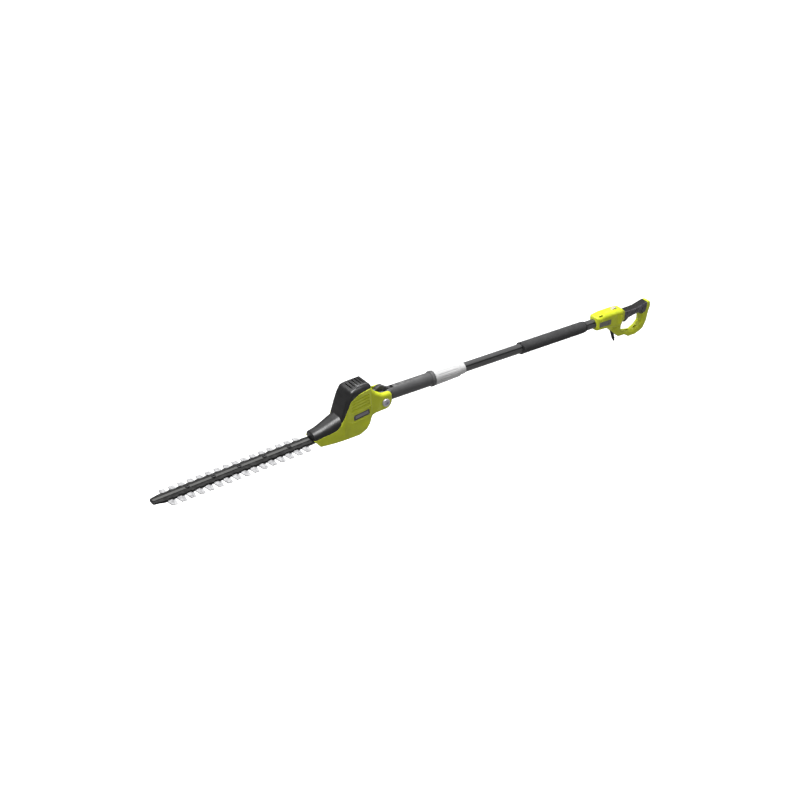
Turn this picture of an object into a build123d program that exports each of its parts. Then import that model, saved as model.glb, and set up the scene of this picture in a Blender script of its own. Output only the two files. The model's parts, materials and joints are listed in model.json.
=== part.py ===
from build123d import *
import math
import os

# Pole hedge trimmer, in millimetres. Pieces are drawn round the axis of the telescopic pole, with
# zero directly above the head pivot. +X runs back along the pole to the rear handle, the cutter bar
# points to -X, +Z is up and -Y is the near side. Saving moves the origin to the middle of the flat
# foot under the handle loop.

os.makedirs("parts", exist_ok=True)

# ---- driving dimensions ----------------------------------------------------------------------
FOOT_X, FOOT_Z = 988.0, -84.0    # flat foot under the handle loop, the saved origin
PIVOT_Z = -4.0                   # head pivot axis, just below the pole axis
TILT = -2.55                     # cutter bar droop against the pole, degrees about +Y
EAR_IN, EAR_OUT = 22.3, 35.0     # inner and outer faces of the clevis ears
TONGUE_R, TONGUE_NEAR, TONGUE_FAR = 24.0, -21.5, 17.6
CLEAR_R = 43.2                   # free space round the pivot inside the head
HEAD_HALF = 38.0                 # half width of the green shells
COVER_HALF = 37.0                # half width of the dark top cover
WALL = 2.8
SHELL_GAP = 0.06                 # from the middle plane to each shell's edge
SCREW_SINK = 5.0                 # depth of the shell screw seats
SCREW_AF = 2.6                   # hexagon socket of the small screws

MODULE = 1.0
PINION_TEETH, GEAR_TEETH = 12, 60
PRESSURE = 25.0
BACKLASH = 0.22                  # tooth thinning on each gear
FLANK_STEPS = 6
MOTOR_X = -82.0
GEAR_X = MOTOR_X - (MODULE * (PINION_TEETH + GEAR_TEETH) / 2 + 0.06)
THROW = 7.0                      # throw of each eccentric, so a 14 mm stroke
CAM_R = 11.5
GEAR_PIN_R = 3.0

BAR_Z0, BAR_Z1 = -54.7, -49.7    # support bar
UPPER_Z0, UPPER_Z1 = -56.9, -54.9
LOWER_Z0, LOWER_Z1 = -59.1, -57.1
BAR_HALF = 18.0
RIDGE_HALF, RIDGE_H = 5.8, 1.9
BAR_TIP = -738.0
TOOTH_PITCH, TOOTH_COUNT, TOOTH_X0 = 28.0, 16, -688.0
TOOTH_TIP = 44.0                 # half width over the tooth tips
BOLT_X = [-629.0, -548.8, -468.6, -388.4, -308.2]
ROOT_BOLT_X = [-214.0, -178.0]
TRAVEL = THROW                   # each blade runs this far to either side of mid travel
REST = 3.5                       # how far from mid travel each blade stands as drawn

TUBE_R, TUBE_BORE = 21.0, 15.08
TUBE_X0, TUBE_X1 = 34.0, 178.0
SOCKET_R = 18.0                  # bore that takes the knuckle tongue
FLANGE_R, FLANGE_X1 = 24.2, 190.0
STUB_R, STUB_X1 = 18.5, 240.0
COLLAR_X0, COLLAR_STEP_X, COLLAR_X1 = 191.5, 283.0, 305.0
COLLAR_R0, COLLAR_STEP_R, COLLAR_R1 = 24.0, 21.0, 17.3
TONGUE_SCREW_X, TONGUE_SCREW_ZS = 48, (-6, 6)
LEVER_PIN = (25.0, 14.5)         # X and Z

POLE_R, POLE_IN = 15.0, 12.0
POLE_X0, POLE_X1 = 190.0, 876.0
GROOVE_W, GROOVE_D = 5.0, 1.5
GROOVE_ANGLES = [145.0, 265.0, 25.0]   # round the pole, 0 = +Y, 90 = +Z

GRIP_X0, GRIP_X1, GRIP_R = 529.0, 782.0, 19.0
HANDLE_X0 = 824.0
HANDLE_HALF = 24.0
LOOP_HALF = 15.0
RUBBER_T = 2.3                   # depth of the neck under the rubber
TRIGGER_PIN = (945.5, -3.5)      # X and Z
BUTTON_X0, BUTTON_X1 = 898.0, 918.0

FROM_BASE = (Align.CENTER, Align.CENTER, Align.MIN)
SIDES = (-1, 1)


# ---- helpers ---------------------------------------------------------------------------------
def box(x0, x1, y0, y1, z0, z1):
    """Box between coordinate limits."""
    return Pos((x0 + x1) / 2, (y0 + y1) / 2, (z0 + z1) / 2) * Box(x1 - x0, y1 - y0, z1 - z0)


def rod(start, end, radius):
    """Cylinder between two points."""
    start, end = Vector(start), Vector(end)
    run = end - start
    plane = Plane(origin=start, z_dir=run.normalized())
    return plane * Cylinder(radius, run.length, align=FROM_BASE)


def cone(start, end, radius0, radius1):
    """Cone between two points."""
    start, end = Vector(start), Vector(end)
    run = end - start
    plane = Plane(origin=start, z_dir=run.normalized())
    return plane * Cone(radius0, radius1, run.length, align=FROM_BASE)


def rod_x(x0, x1, radius):
    return rod((x0, 0, 0), (x1, 0, 0), radius)


def cone_x(x0, x1, radius0, radius1):
    return cone((x0, 0, 0), (x1, 0, 0), radius0, radius1)


def rod_y(y0, y1, radius, x=0.0, z=0.0):
    return rod((x, y0, z), (x, y1, z), radius)


def rod_z(z0, z1, radius, x=0.0, y=0.0):
    return rod((x, y, z0), (x, y, z1), radius)


def rounded(points):
    """Closed 2D outline of (u, v) or (u, v, radius): one point per corner, or an arc's three."""
    corners = [(p[0], p[1], p[2] if len(p) > 2 else 0.0) for p in points]
    result = []
    for i, (u, v, radius) in enumerate(corners):
        here = Vector(u, v)
        back = Vector(*corners[i - 1][:2]) - here
        ahead = Vector(*corners[(i + 1) % len(corners)][:2]) - here
        longest_run = 0.48 * min(back.length, ahead.length)
        back, ahead = back.normalized(), ahead.normalized()
        angle = math.acos(max(-1, min(1, back.dot(ahead))))
        if radius <= 0 or angle > math.pi - 0.01:
            result.append((here,))
            continue
        run = min(radius / math.tan(angle / 2), longest_run)
        radius = run * math.tan(angle / 2)
        bisector = (back + ahead).normalized()
        middle = here + bisector * (radius / math.sin(angle / 2) - radius)
        result.append((here + back * run, middle, here + ahead * run))
    return result


def outline(points, plane="xz", at=0.0):
    """Face from a rounded outline in a principal plane."""
    place = {
        "xz": lambda p: Vector(p.X, at, p.Y),
        "xy": lambda p: Vector(p.X, p.Y, at),
        "yz": lambda p: Vector(at, p.X, p.Y),
    }[plane]
    corners = [[place(p) for p in corner] for corner in rounded(points)]
    edges = []
    for corner, following in zip(corners, corners[1:] + corners[:1]):
        if len(corner) == 3:
            edges.append(Edge.make_three_point_arc(*corner))
        if (following[0] - corner[-1]).length > 1e-6:
            edges.append(Edge.make_line(corner[-1], following[0]))
    return Face(Wire(edges))


def slab(points, start, end, plane="xz"):
    """Rounded outline pushed from start to end along the plane's normal axis."""
    direction = {"xz": (0, 1, 0), "xy": (0, 0, 1), "yz": (1, 0, 0)}[plane]
    return Part() + extrude(outline(points, plane, start), amount=end - start, dir=direction)


def rectangle(x0, x1, y0, y1, radius):
    return [(x0, y0, radius), (x1, y0, radius), (x1, y1, radius), (x0, y1, radius)]


def mirrored(points):
    """Outline closed by its own mirror image across the middle plane."""
    return points + [(x, -y, *radius) for x, y, *radius in reversed(points)]


def biggest(shape):
    return Part() + max(shape.solids(), key=lambda solid: solid.volume)


def soft(shape, edges, radii):
    """Round the edges with the first radius that works, or leave the shape as it is."""
    for radius in radii:
        # guards against a radius too large for the kernel to build
        try:
            result = fillet(edges, radius)
            if result.solids() and result.is_valid:
                return Part() + result
        except Exception:
            pass
    return shape


def edges_on(shape, distance, tolerance):
    """Edges whose ends and middle lie on the surface where distance(point) is zero."""
    return [e for e in shape.edges()
            if all(abs(distance(e.position_at(t))) < tolerance for t in (0, 0.5, 1))]


def side_edges(shape, *levels):
    """Edges lying in each plane Y = level."""
    return [e for level in levels for e in edges_on(shape, lambda p: p.Y - level, 0.01)]


def rims(shape, *places, over=0.0):
    """Circles at the given X places with a radius above a limit."""
    return [e for e in shape.edges().filter_by(GeomType.CIRCLE)
            if any(abs(e.center().X - x) < 0.1 for x in places) and e.radius > over]


def soft_sides(shape, half, radii):
    return soft(shape, side_edges(shape, -half, half), radii)


def pillow(points, half, radii):
    """Prism on a side outline, both faces softened."""
    return soft_sides(slab(points, -half, half), half, radii)


def hexagon(across_flats, height):
    return extrude(RegularPolygon(across_flats / 2, 6, major_radius=False), amount=height)


def pan_screw(head_r, head_h, shank_r, length, across_flats):
    """Round head screw along -Z with its head seat at Z=0 and a hexagon socket."""
    screw = Cylinder(head_r, head_h, align=FROM_BASE)
    top_rim = screw.faces().sort_by(Axis.Z)[-1].edges()
    screw = soft(screw, top_rim, [head_h * 0.6, head_h * 0.4])
    screw = Part() + screw - Pos(0, 0, head_h * 0.35) * hexagon(across_flats, head_h)
    screw += Pos(0, 0, -length) * Cylinder(shank_r, length + 0.01, align=FROM_BASE)
    return screw


def side_screw(x, y, z, *sizes):
    """Pan screw with its head towards +Y."""
    return Pos(x, y, z) * Rot(-90, 0, 0) * pan_screw(*sizes)


def hex_nut(across_flats, height, bore):
    """Hexagon nut from Z=0 up."""
    hole = Pos(0, 0, -1) * Cylinder(bore, height + 2, align=FROM_BASE)
    return Part() + hexagon(across_flats, height) - hole


def coil(start, direction, length, radius, wire, turns):
    """Round wire wound into a helix from a start point; length is that of the wire's centre."""
    path = Helix(pitch=length / turns, height=length, radius=radius)
    profile = Plane(origin=path @ 0, z_dir=path % 0) * Circle(wire / 2)
    return Plane(origin=start, z_dir=direction) * sweep(profile, path=path)


def upright_spring(x, z0, z1, radius, wire, turns):
    """Compression spring between two seats on the middle plane."""
    return coil((x, 0, z0 + wire / 2), (0, 0, 1), z1 - z0 - wire, radius, wire, turns)


def save(name, shape):
    solids = [Pos(-FOOT_X, 0, -FOOT_Z) * s for s in shape.solids() if s.volume > 0.05]
    export_step(Compound(solids) if len(solids) > 1 else solids[0], f"parts/{name}.step")


def save_head(name, shape):
    """Head pieces are drawn level round the pivot, then hung at the droop."""
    save(name, Pos(0, 0, PIVOT_Z) * Rot(0, TILT, 0) * shape)


# ---- head housing ----------------------------------------------------------------------------
# Side outlines are (x, z) or (x, z, corner radius).
# motor hump and belly, with an upright rear wall just ahead of the clevis
HUMP = [
    (-158, -60, 8), (-150, -8, 14), (-138, 24, 40), (-127, 50, 24), (-113, 72, 14),
    (-73, 82.5, 60), (-44.5, 79.5, 12), (-43.5, -28, 3), (-47, -33, 6), (-54, -52, 10),
    (-66, -67, 12), (-90, -78, 22), (-125, -77.5, 30)]
HUMP_INNER = [
    (-154, -57, 6), (-146.5, -8, 12), (-134.5, 24, 40), (-123.5, 49, 22), (-111, 69, 12),
    (-73, 79.1, 58), (-47.4, 76.5, 9), (-46.6, -30, 4), (-51, -35, 6), (-57.5, -53, 8),
    (-68, -64.5, 10), (-90, -75, 20), (-125, -74.5, 28)]
# the cavity in the cover leaves out the three corners low on the rear wall
COVER_INNER = HUMP_INNER[:8] + HUMP_INNER[11:]
HUMP_RADII, INNER_RADII = [11, 10, 9, 8, 6], [8, 7, 6, 5]
CROWN_Z, CROWN_R = 83.0, 27.0    # the crown is arched across its width

# nose stations: x, half width, top, bottom, top corner radius, bottom corner radius
NOSE = [
    (-241, 25.5, -28, -70.5, 17, 7),
    (-200, 29.5, -20, -76.0, 21, 9),
    (-150, 36.5, -3, -77.5, 25, 11),
    (-110, 37.0, 4, -78.0, 25, 11)]
NOSE_INNER = [(-234.6, 23.4, -31.5, -66.6, 14, 4)] + [
    (x, half - WALL, top - WALL, bottom + WALL, top_r - 2, bottom_r - 2)
    for x, half, top, bottom, top_r, bottom_r in NOSE[1:]]
NOSE_COVER = [(x, half - 0.8, top, bottom + 2, top_r, bottom_r)
              for x, half, top, bottom, top_r, bottom_r in NOSE]
NOSE_X = -238.0                  # flat front of the nose

# raked front of the chin below the bar, as (x, z)
CHIN_TOP, CHIN_LOW = Vector(-239.5, -45.6), Vector(-219.0, -72.5)
CHIN_ALONG = (CHIN_LOW - CHIN_TOP).normalized()
CHIN_INWARD = Vector(-CHIN_ALONG.Y, CHIN_ALONG.X)

# clevis arms: broad at the hump, sweeping down in a hollow curve to round ears
EARS = [
    (-70, -38), (-70, 100), (-30, 44, 26), (-6, 28, 16), (26.9, 27, 26.8), (26.9, -27, 26.8),
    (-32, -27.5, 6), (-60, -36)]

# line between the dark cover and the green shells, closed well above the head
SPLIT = [
    (-262, -46.2), (-229, -45.4, 10), (-207, -41.4, 30), (-188, -38.4, 20), (-168, -33, 20),
    (-154, -22, 20), (-141, 0, 40), (-129, 23, 40), (-117, 46, 14), (-90, 60, 50),
    (-60, 65, 20), (-30, 66), (-30, 100), (-262, 100)]
SPLIT_GAP = 0.35

BADGE_RECESS = [(-112, -20.5, 4), (-57, -16.5, 4), (-58.0, 2.4, 4), (-112, -2.6, 4)]
BADGE_RIBS = [
    [(-117, 4.2), (-117, 6.0), (-50, 11.6), (-50, 9.8)],
    [(-117, -26.6), (-117, -24.8), (-56, -21.4), (-56, -23.2)],
    [(-55.6, -23.2), (-53.8, -23.2), (-52.6, 9.6), (-54.4, 9.6)]]
BADGE_PLATE = [(-111.6, -20.1, 3.6), (-57.4, -16.1, 3.6), (-58.4, 2.0, 3.6), (-111.6, -3.0, 3.6)]
BADGE_BAR = [(-106.5, -15.0, 2.5), (-61.5, -11.4, 2.5), (-62.2, -1.6, 2.5), (-106.5, -5.6, 2.5)]
HEAD_BOSSES = [(-150.0, -69.6), (-59.0, -50.0), (-49.4, 44.0), (-119.0, 25.0)]   # X, Z
DOWEL_X = 12.0                   # dowels of the locking disc, either side of the pivot


def hump(points, half, margin, inset, radii):
    """Side outline as a softened prism, trimmed by the crown arch."""
    arch_half, top, radius = half + margin, CROWN_Z - inset, CROWN_R - inset
    arch = outline([(-arch_half, -130), (arch_half, -130), (arch_half, top, radius),
                    (-arch_half, top, radius)], "yz", -200)
    return pillow(points, half, radii) & extrude(arch, amount=260, dir=(1, 0, 0))


def nose_loft(stations):
    return Part() + loft([
        outline([(-half, bottom, bottom_r), (half, bottom, bottom_r),
                 (half, top, top_r), (-half, top, top_r)], "yz", x)
        for x, half, top, bottom, top_r, bottom_r in stations])


def below_chin(inset):
    """Everything ahead of the raked front, moved inward by the inset."""
    start = CHIN_TOP + CHIN_INWARD * inset
    high, low = start - CHIN_ALONG * 4, start + CHIN_ALONG * 60
    return slab([(high.X, high.Y), (low.X, low.Y), (-275, low.Y), (-275, high.Y)], -60, 60)


def chin_distance(point):
    return (Vector(point.X, point.Z) - CHIN_TOP).dot(CHIN_INWARD)


def above_split(drop):
    """Everything over the split line, with the line lowered by the drop."""
    return slab([(x, z - drop if z < 90 else z, *r) for x, z, *r in SPLIT], -60, 60)


def clevis_ears():
    ears = slab(EARS, -EAR_OUT, EAR_OUT)
    outer = [e for e in side_edges(ears, -EAR_OUT, EAR_OUT) if e.center().X > -69]
    ears = soft(ears, outer, [11, 10, 9, 8, 6, 4])
    return ears & box(-62, 60, -60, 60, -90, 66)


def cut_bar_window(shape):
    """Opening in the nose for the bar and blades, with a notch for the ridge."""
    shape -= box(-260, -225, -18.8, 18.8, -60.2, -45.8)
    return shape - box(-260, -225, -7.6, 7.6, -50, -45.0)


nose_front = box(-243, NOSE_X, -60, 60, -90, 20)
nose_cavity = nose_loft(NOSE_INNER) - below_chin(3.0)


def head_shells():
    """Both green shells in one piece, hollow and ready to be split."""
    nose = nose_loft(NOSE) - nose_front
    nose -= below_chin(0)
    nose = soft(nose, edges_on(nose, chin_distance, 0.02), [6, 5, 4, 3, 2])
    outer_hump = hump(HUMP, HEAD_HALF, 2, 0, HUMP_RADII)
    skin = outer_hump + nose
    shell = outer_hump + nose + clevis_ears()
    shell -= above_split(SPLIT_GAP)
    shell -= hump(HUMP_INNER, HEAD_HALF - WALL, 0.2, WALL, INNER_RADII)
    shell -= nose_cavity
    shell -= rod_y(-EAR_IN, EAR_IN, CLEAR_R)
    shell -= box(-31, 60, -EAR_IN, EAR_IN, -90, 90)
    shell -= rod_y(-60, 60, 5.1)                       # pivot bolt hole
    shell = cut_bar_window(shell)
    for side in SIDES:
        shell -= rod_y(22.0, 25.0, 2.5, side * DOWEL_X, 0)
    for side in SIDES:                                 # seats for the pivot cap and nut
        shell -= rod_y(side * EAR_OUT, side * 60, 13.0)
    # slanted louvre grooves above the badge
    slant, half_groove = 3.2, 1.5
    for k in range(4):
        z = 18.0 + 9.6 * k
        x0, x1 = -118 + 1.4 * k, -56.0
        groove = slab([
            (x0, z - half_groove - slant, 1.2), (x1, z - half_groove + slant, 1.2),
            (x1, z + half_groove + slant, 1.2), (x0, z + half_groove - slant, 1.2)],
            -HEAD_HALF - 1, -HEAD_HALF + 1.3)
        shell -= groove
        shell -= mirror(groove, about=Plane.XZ)
    # badge recess on both sides, framed by thin raised ribs
    for side in SIDES:
        crest = side * (HEAD_HALF + 0.9)
        y0, y1 = sorted((side * (HEAD_HALF - 1.0), crest))
        for points in BADGE_RIBS:
            rib = slab(points, y0, y1)
            shell += soft(rib, side_edges(rib, crest), [0.5, 0.3])
    recess = slab(BADGE_RECESS, -HEAD_HALF - 1, -HEAD_HALF + 1.8)
    shell -= recess
    shell -= mirror(recess, about=Plane.XZ)
    for x, z in HEAD_BOSSES:
        near_boss = rod_y(-HEAD_HALF + 1.5, -6, 4.2, x, z) & skin
        far_boss = rod_y(6, HEAD_HALF - 1.5, 4.2, x, z) & skin
        shell += near_boss + far_boss
        shell -= rod_y(-24, 60, 1.7, x, z)
        shell -= rod_y(HEAD_HALF - SCREW_SINK, 60, 3.6, x, z)
    return shell


def head_top_cover():
    nose = nose_loft(NOSE_COVER) - nose_front
    nose = soft(nose, edges_on(nose, lambda p: p.X - NOSE_X, 0.02), [5, 4, 3, 2])
    outer_hump = hump(HUMP, COVER_HALF, 0.2, 0, HUMP_RADII)
    cover = (outer_hump & box(-160, 0, -60, 60, -90, 120)) + nose
    cover = cover & above_split(0)
    cover -= hump(COVER_INNER, COVER_HALF - WALL, 0.2, WALL, INNER_RADII)
    cover -= nose_cavity & box(-300, -120, -60, 60, -90, 40)
    cover -= rod_y(-EAR_IN, EAR_IN, CLEAR_R)
    cover = cut_bar_window(cover)
    for k in range(5):                                 # cooling slots across the crown
        cover -= Pos(-100.0 + 10.0 * k, 0, 79) * Box(3.2, 36, 16)
    return biggest(cover)


def badge_plate():
    plate = slab(BADGE_PLATE, -HEAD_HALF + 0.7, -HEAD_HALF + 1.7)
    raised = slab(BADGE_BAR, -HEAD_HALF - 0.2, -HEAD_HALF + 0.8)
    return plate + soft(raised, side_edges(raised, -HEAD_HALF - 0.2), [0.4, 0.3])


def head_shell_screws():
    screws = Part()
    for x, z in HEAD_BOSSES:
        screws += side_screw(x, HEAD_HALF - SCREW_SINK, z, 3.3, 2.4, 1.5, 24, SCREW_AF)
    return screws


shells = head_shells()
save_head("head_shell_near", biggest(shells & box(-300, 60, -80, -SHELL_GAP, -120, 120)))
save_head("head_shell_far", biggest(shells & box(-300, 60, SHELL_GAP, 80, -120, 120)))
save_head("head_top_cover", head_top_cover())
save_head("badge_plate", badge_plate())
save_head("head_shell_screws", head_shell_screws())

# ---- motor -----------------------------------------------------------------------------------
CORE_Z0, CORE_Z1 = -10, 34
CORE_MID = (CORE_Z0 + CORE_Z1) / 2
STATOR_BORE, ARMATURE_R = 19.5, 18.6
COIL_X = 22.5                    # field coils either side of the shaft
SHAFT_R = 4.0
SHAFT_FIT = SHAFT_R + 0.04       # bore of the pieces on the shaft
PINION_SEAT_R, PINION_Z0, PINION_H = 2.98, -45.4, 7.4
WINDINGS = [(38.6, 8.2), (-14.0, 7.4)]   # middle Z, height
BRUSH_Z = 51.5
CUP_BORE = 9.56                  # seat of the upper bearing in the bridge
LEG_X = 25.4


def motor_rod(z0, z1, radius):
    return rod_z(z0, z1, radius, MOTOR_X)


def motor_stator():
    stator = motor_rod(CORE_Z0, CORE_Z1, 29) - motor_rod(CORE_Z0 - 1, CORE_Z1 + 1, STATOR_BORE)
    for side in SIDES:                                 # flats, then winding windows
        stator -= box(MOTOR_X - 16, MOTOR_X + 16, side * 33 - 6, side * 33 + 6,
                      CORE_Z0 - 2, CORE_Z1 + 2)
        stator -= Pos(MOTOR_X + side * COIL_X, 0, CORE_MID) * Box(9, 15, 60)
    return biggest(stator)


def motor_coils():
    coils = Part()
    for side in SIDES:
        coils += Pos(MOTOR_X + side * COIL_X, 0, CORE_MID) * Box(7.6, 12.5, 56)
    return coils


def armature_core():
    core = motor_rod(CORE_Z0, CORE_Z1, ARMATURE_R) - motor_rod(CORE_Z0 - 1, CORE_Z1 + 1, SHAFT_FIT)
    for k in range(12):                                # slots with round bottoms
        angle = math.radians(30 * k)
        across, along = math.cos(angle), math.sin(angle)
        slot_at = Pos(MOTOR_X + 15.2 * across, 15.2 * along, CORE_MID)
        core -= slot_at * Rot(0, 0, 30 * k) * Box(7.4, 2.6, 60)
        core -= Pos(MOTOR_X + 12.5 * across, 12.5 * along, CORE_MID) * Cylinder(2.7, 60)
    return biggest(core)


def armature_winding(z, height):
    winding = Part() + Pos(MOTOR_X, 0, z) * Cylinder(16.2, height)
    winding = soft(winding, winding.edges().filter_by(GeomType.CIRCLE), [3.0, 2.0])
    return winding - motor_rod(z - height, z + height, 5.2)


def commutator():
    body = motor_rod(45, 58, 11) - motor_rod(44, 59, SHAFT_FIT)
    for k in range(24):
        body -= Pos(MOTOR_X, 0, 52) * Rot(0, 0, 15 * k) * Pos(10.6, 0, 0) * Box(2.2, 0.5, 20)
    return biggest(body)


def motor_shaft():
    """Shaft turned down at its lower end for the pinion."""
    shaft = motor_rod(PINION_Z0, 68.4, SHAFT_R)
    shaft -= motor_rod(-46, -37.6, 9) - motor_rod(-46, -37.6, PINION_SEAT_R)
    return shaft


def cooling_fan():
    radius, blades = 26, 11
    fan = motor_rod(-22.4, -20.8, radius) + motor_rod(-29.5, -20.8, 8)
    for k in range(blades):
        turn = Pos(MOTOR_X, 0, -25.9) * Rot(0, 0, 360 / blades * k)
        fan += turn * Pos(16.5, 0, 0) * Rot(0, 0, 18) * Box(18.5, 1.4, 7.0)
    fan = (fan & motor_rod(-30, -20, radius)) - motor_rod(-31, -19, SHAFT_FIT)
    return biggest(fan)


def ball_bearing(z0, z1, outer_r, balls=8):
    bore = SHAFT_R + 0.03
    middle, ring_r = (z0 + z1) / 2, (bore + outer_r) / 2
    ball_r = (outer_r - bore) * 0.22
    outer = motor_rod(z0, z1, outer_r) - motor_rod(z0 - 1, z1 + 1, ring_r + ball_r * 0.75)
    inner = motor_rod(z0, z1, ring_r - ball_r * 0.75) - motor_rod(z0 - 1, z1 + 1, bore)
    race = Pos(MOTOR_X, 0, middle) * Torus(ring_r, ball_r + 0.03)
    bearing = (outer - race) + (inner - race)
    for k in range(balls):
        angle = 2 * math.pi * k / balls
        x, y = MOTOR_X + ring_r * math.cos(angle), ring_r * math.sin(angle)
        bearing += Pos(x, y, middle) * Sphere(ball_r)
    return bearing


def carbon_brushes():
    brush = Box(5.6, 12.0, 7.6)
    pair = (Pos(MOTOR_X, 17.2, BRUSH_Z) * brush) + (Pos(MOTOR_X, -17.2, BRUSH_Z) * brush)
    return pair - motor_rod(40, 60, 11.25)


def brush_holders():
    holders = Part()
    for side in SIDES:
        holder = Pos(MOTOR_X, side * 20.0, BRUSH_Z) * Box(8.6, 12, 10.6)
        holders += holder - Pos(MOTOR_X, side * 19.0, BRUSH_Z) * Box(5.8, 14, 7.8)
    return holders


def motor_bearing_bridge():
    """Upper bearing cup on a bridge, with two uprights whose four feet stand over the stator."""
    cup_cut = motor_rod(59, 68.0, CUP_BORE)
    bridge = motor_rod(60.5, 70.5, 12.2) - cup_cut - motor_rod(60, 75, 6.0)
    bridge += Pos(MOTOR_X, 0, 62.3) * Box(54, 9, 3.6) - motor_rod(55, 75, 11.9)
    for side in SIDES:
        x0, x1 = MOTOR_X + side * LEG_X - 2.0, MOTOR_X + side * LEG_X + 2.0
        bridge += box(x0, x1, -10.5, 10.5, 41.0, 64.1)
        for foot in SIDES:
            bridge += box(x0, x1, foot * 9.0 - 1.5, foot * 9.0 + 1.5, 34.1, 42.0)
    for side in SIDES:                                 # stepped arms out over the brush holders
        bridge += Pos(MOTOR_X, side * 20.0, 58.6) * Box(8.6, 9.5, 3.4)
        bridge += Pos(MOTOR_X, side * 20.15, 59.5) * Box(8.6, 9.1, 5)
        bridge += Pos(MOTOR_X, side * 14, 62.25) * Box(8.6, 6, 3.5)
    return biggest(bridge - motor_rod(40, 60.4, 11.6) - cup_cut)


save_head("motor_stator_core", motor_stator())
save_head("motor_field_coils", motor_coils())
save_head("armature_core", armature_core())
save_head("armature_windings", armature_winding(*WINDINGS[0]) + armature_winding(*WINDINGS[1]))
save_head("commutator", commutator())
save_head("motor_shaft", motor_shaft())
save_head("cooling_fan", cooling_fan())
save_head("motor_bearings", ball_bearing(61.5, 67.5, 9.5) + ball_bearing(-37.0, -31.2, 11.0))
save_head("carbon_brushes", carbon_brushes())
save_head("brush_holders", brush_holders())
save_head("motor_bearing_bridge", motor_bearing_bridge())

# ---- gear train ------------------------------------------------------------------------------
POSTS = [(-149.0, 28.0), (-149.0, -28.0), (-69.5, 25.0), (-69.5, -25.0)]   # X, Y
CAM_Z0, CAM_MID, CAM_Z1 = -59.5, -57.0, -46.6
PIN_BORE = GEAR_PIN_R + 0.03
BASE_OUTLINE = mirrored([(-228, -20, 4), (-160, -29, 8), (-64.5, -29, 8)])      # x, y, radius
BOTTOM_OUTLINE = mirrored([(-206, -20, 4), (-160, -27, 8), (-84, -27, 8)])


def involute_gear(teeth, width, bore):
    pitch_r = MODULE * teeth / 2
    base_r = pitch_r * math.cos(math.radians(PRESSURE))
    tip_r, root_r = pitch_r + MODULE, pitch_r - 1.25 * MODULE

    def involute(angle):
        return math.tan(angle) - angle

    # half tooth angle at the base circle
    half_angle = (math.pi / (2 * teeth) + involute(math.radians(PRESSURE))
                  - BACKLASH / (2 * pitch_r))
    start_r = max(base_r, root_r + 0.01)
    flank = []
    for i in range(FLANK_STEPS + 1):
        radius = start_r + (tip_r - start_r) * i / FLANK_STEPS
        flank.append((radius, half_angle - involute(math.acos(min(1, base_r / radius)))))
    if base_r > root_r:
        flank.insert(0, (root_r, flank[0][1]))
    polar = []
    for k in range(teeth):
        centre = 2 * math.pi * k / teeth
        polar += [(radius, centre - angle) for radius, angle in flank]
        polar += [(radius, centre + angle) for radius, angle in reversed(flank)]
    points = [Vector(radius * math.cos(a), radius * math.sin(a), 0) for radius, a in polar]
    face = Face(Wire.make_polygon(points, close=True))
    gear = Part() + extrude(face, amount=width, dir=(0, 0, 1))
    return gear - Pos(0, 0, -1) * Cylinder(bore, width + 2, align=FROM_BASE)


def motor_pinion():
    """The gear has a tooth on the line of centres, the pinion a gap there."""
    turn = Rot(0, 0, 180 + 180 / PINION_TEETH)
    return Pos(MOTOR_X, 0, PINION_Z0) * turn * involute_gear(PINION_TEETH, PINION_H, 3.02)


def spur_gear():
    gear = involute_gear(GEAR_TEETH, 7.0, 6.03)
    hole = Cylinder(4.4, 10, align=FROM_BASE)
    for k in range(5):
        gear -= Pos(0, 0, -1) * Rot(0, 0, 72 * k + 36) * Pos(19.5, 0, 0) * hole
    return Pos(GEAR_X, 0, -45.0) * gear


def eccentric_cams():
    """Opposed eccentrics with the gear's collar and hub, turned to suit the blades as drawn."""
    cams = rod_z(CAM_MID, CAM_Z1, CAM_R, GEAR_X + THROW)
    cams = cams + rod_z(CAM_Z0, CAM_MID, CAM_R, GEAR_X - THROW)
    cams += rod_z(CAM_Z1, -45.08, 13.5, GEAR_X) + rod_z(CAM_Z1, -38.2, 6.0, GEAR_X)
    cams -= rod_z(-70, -30, GEAR_PIN_R + 0.06, GEAR_X)
    phase = math.degrees(math.acos(REST / THROW))
    return biggest(Pos(GEAR_X, 0, 0) * Rot(0, 0, phase) * Pos(-GEAR_X, 0, 0) * biggest(cams))


def gear_carrier():
    """Plate above the gear, with hollow posts down to the base plate."""
    carrier = slab(rectangle(-155, -64.5, -32.8, 32.8, 8), -37.0, -31.2, "xy")
    carrier -= motor_rod(-38, -30, 11.05)
    carrier -= rod_z(-38, -31.0, PIN_BORE, GEAR_X)
    for x, y in POSTS:
        carrier += rod_z(-45.9, -36.9, 3.6, x, y)
        carrier -= rod_z(-46, -33.0, 1.6, x, y)
    carrier -= slab(rectangle(-146, -132, 12, 26, 3), -38, -30, "xy")
    return biggest(carrier)


def gearbox_base_plate():
    base = slab(BASE_OUTLINE, -49.6, -46.0, "xy")
    base -= rod_z(-50, -45, 19.4, GEAR_X)
    for x, y in POSTS:
        base -= rod_z(-50, -45, 1.9, x, y)
    for x in ROOT_BOLT_X:
        base -= rod_z(-50, -45, 2.6, x)
    return biggest(base)


def gearbox_screws():
    screws = Part()
    for x, y in POSTS:
        screws += Pos(x, y, -49.65) * Rot(180, 0, 0) * pan_screw(3.4, 2.2, 1.5, 14, SCREW_AF)
    return screws


def bottom_plate():
    plate = slab(BOTTOM_OUTLINE, -64.0, -61.6, "xy")
    plate += rod_z(-64.4, -61.6, 7, GEAR_X)
    plate -= rod_z(-70, -60, PIN_BORE, GEAR_X)
    plate -= slab(rectangle(-196, -170, -9, 9, 6), -70, -60.0, "xy")
    return biggest(plate)


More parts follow.
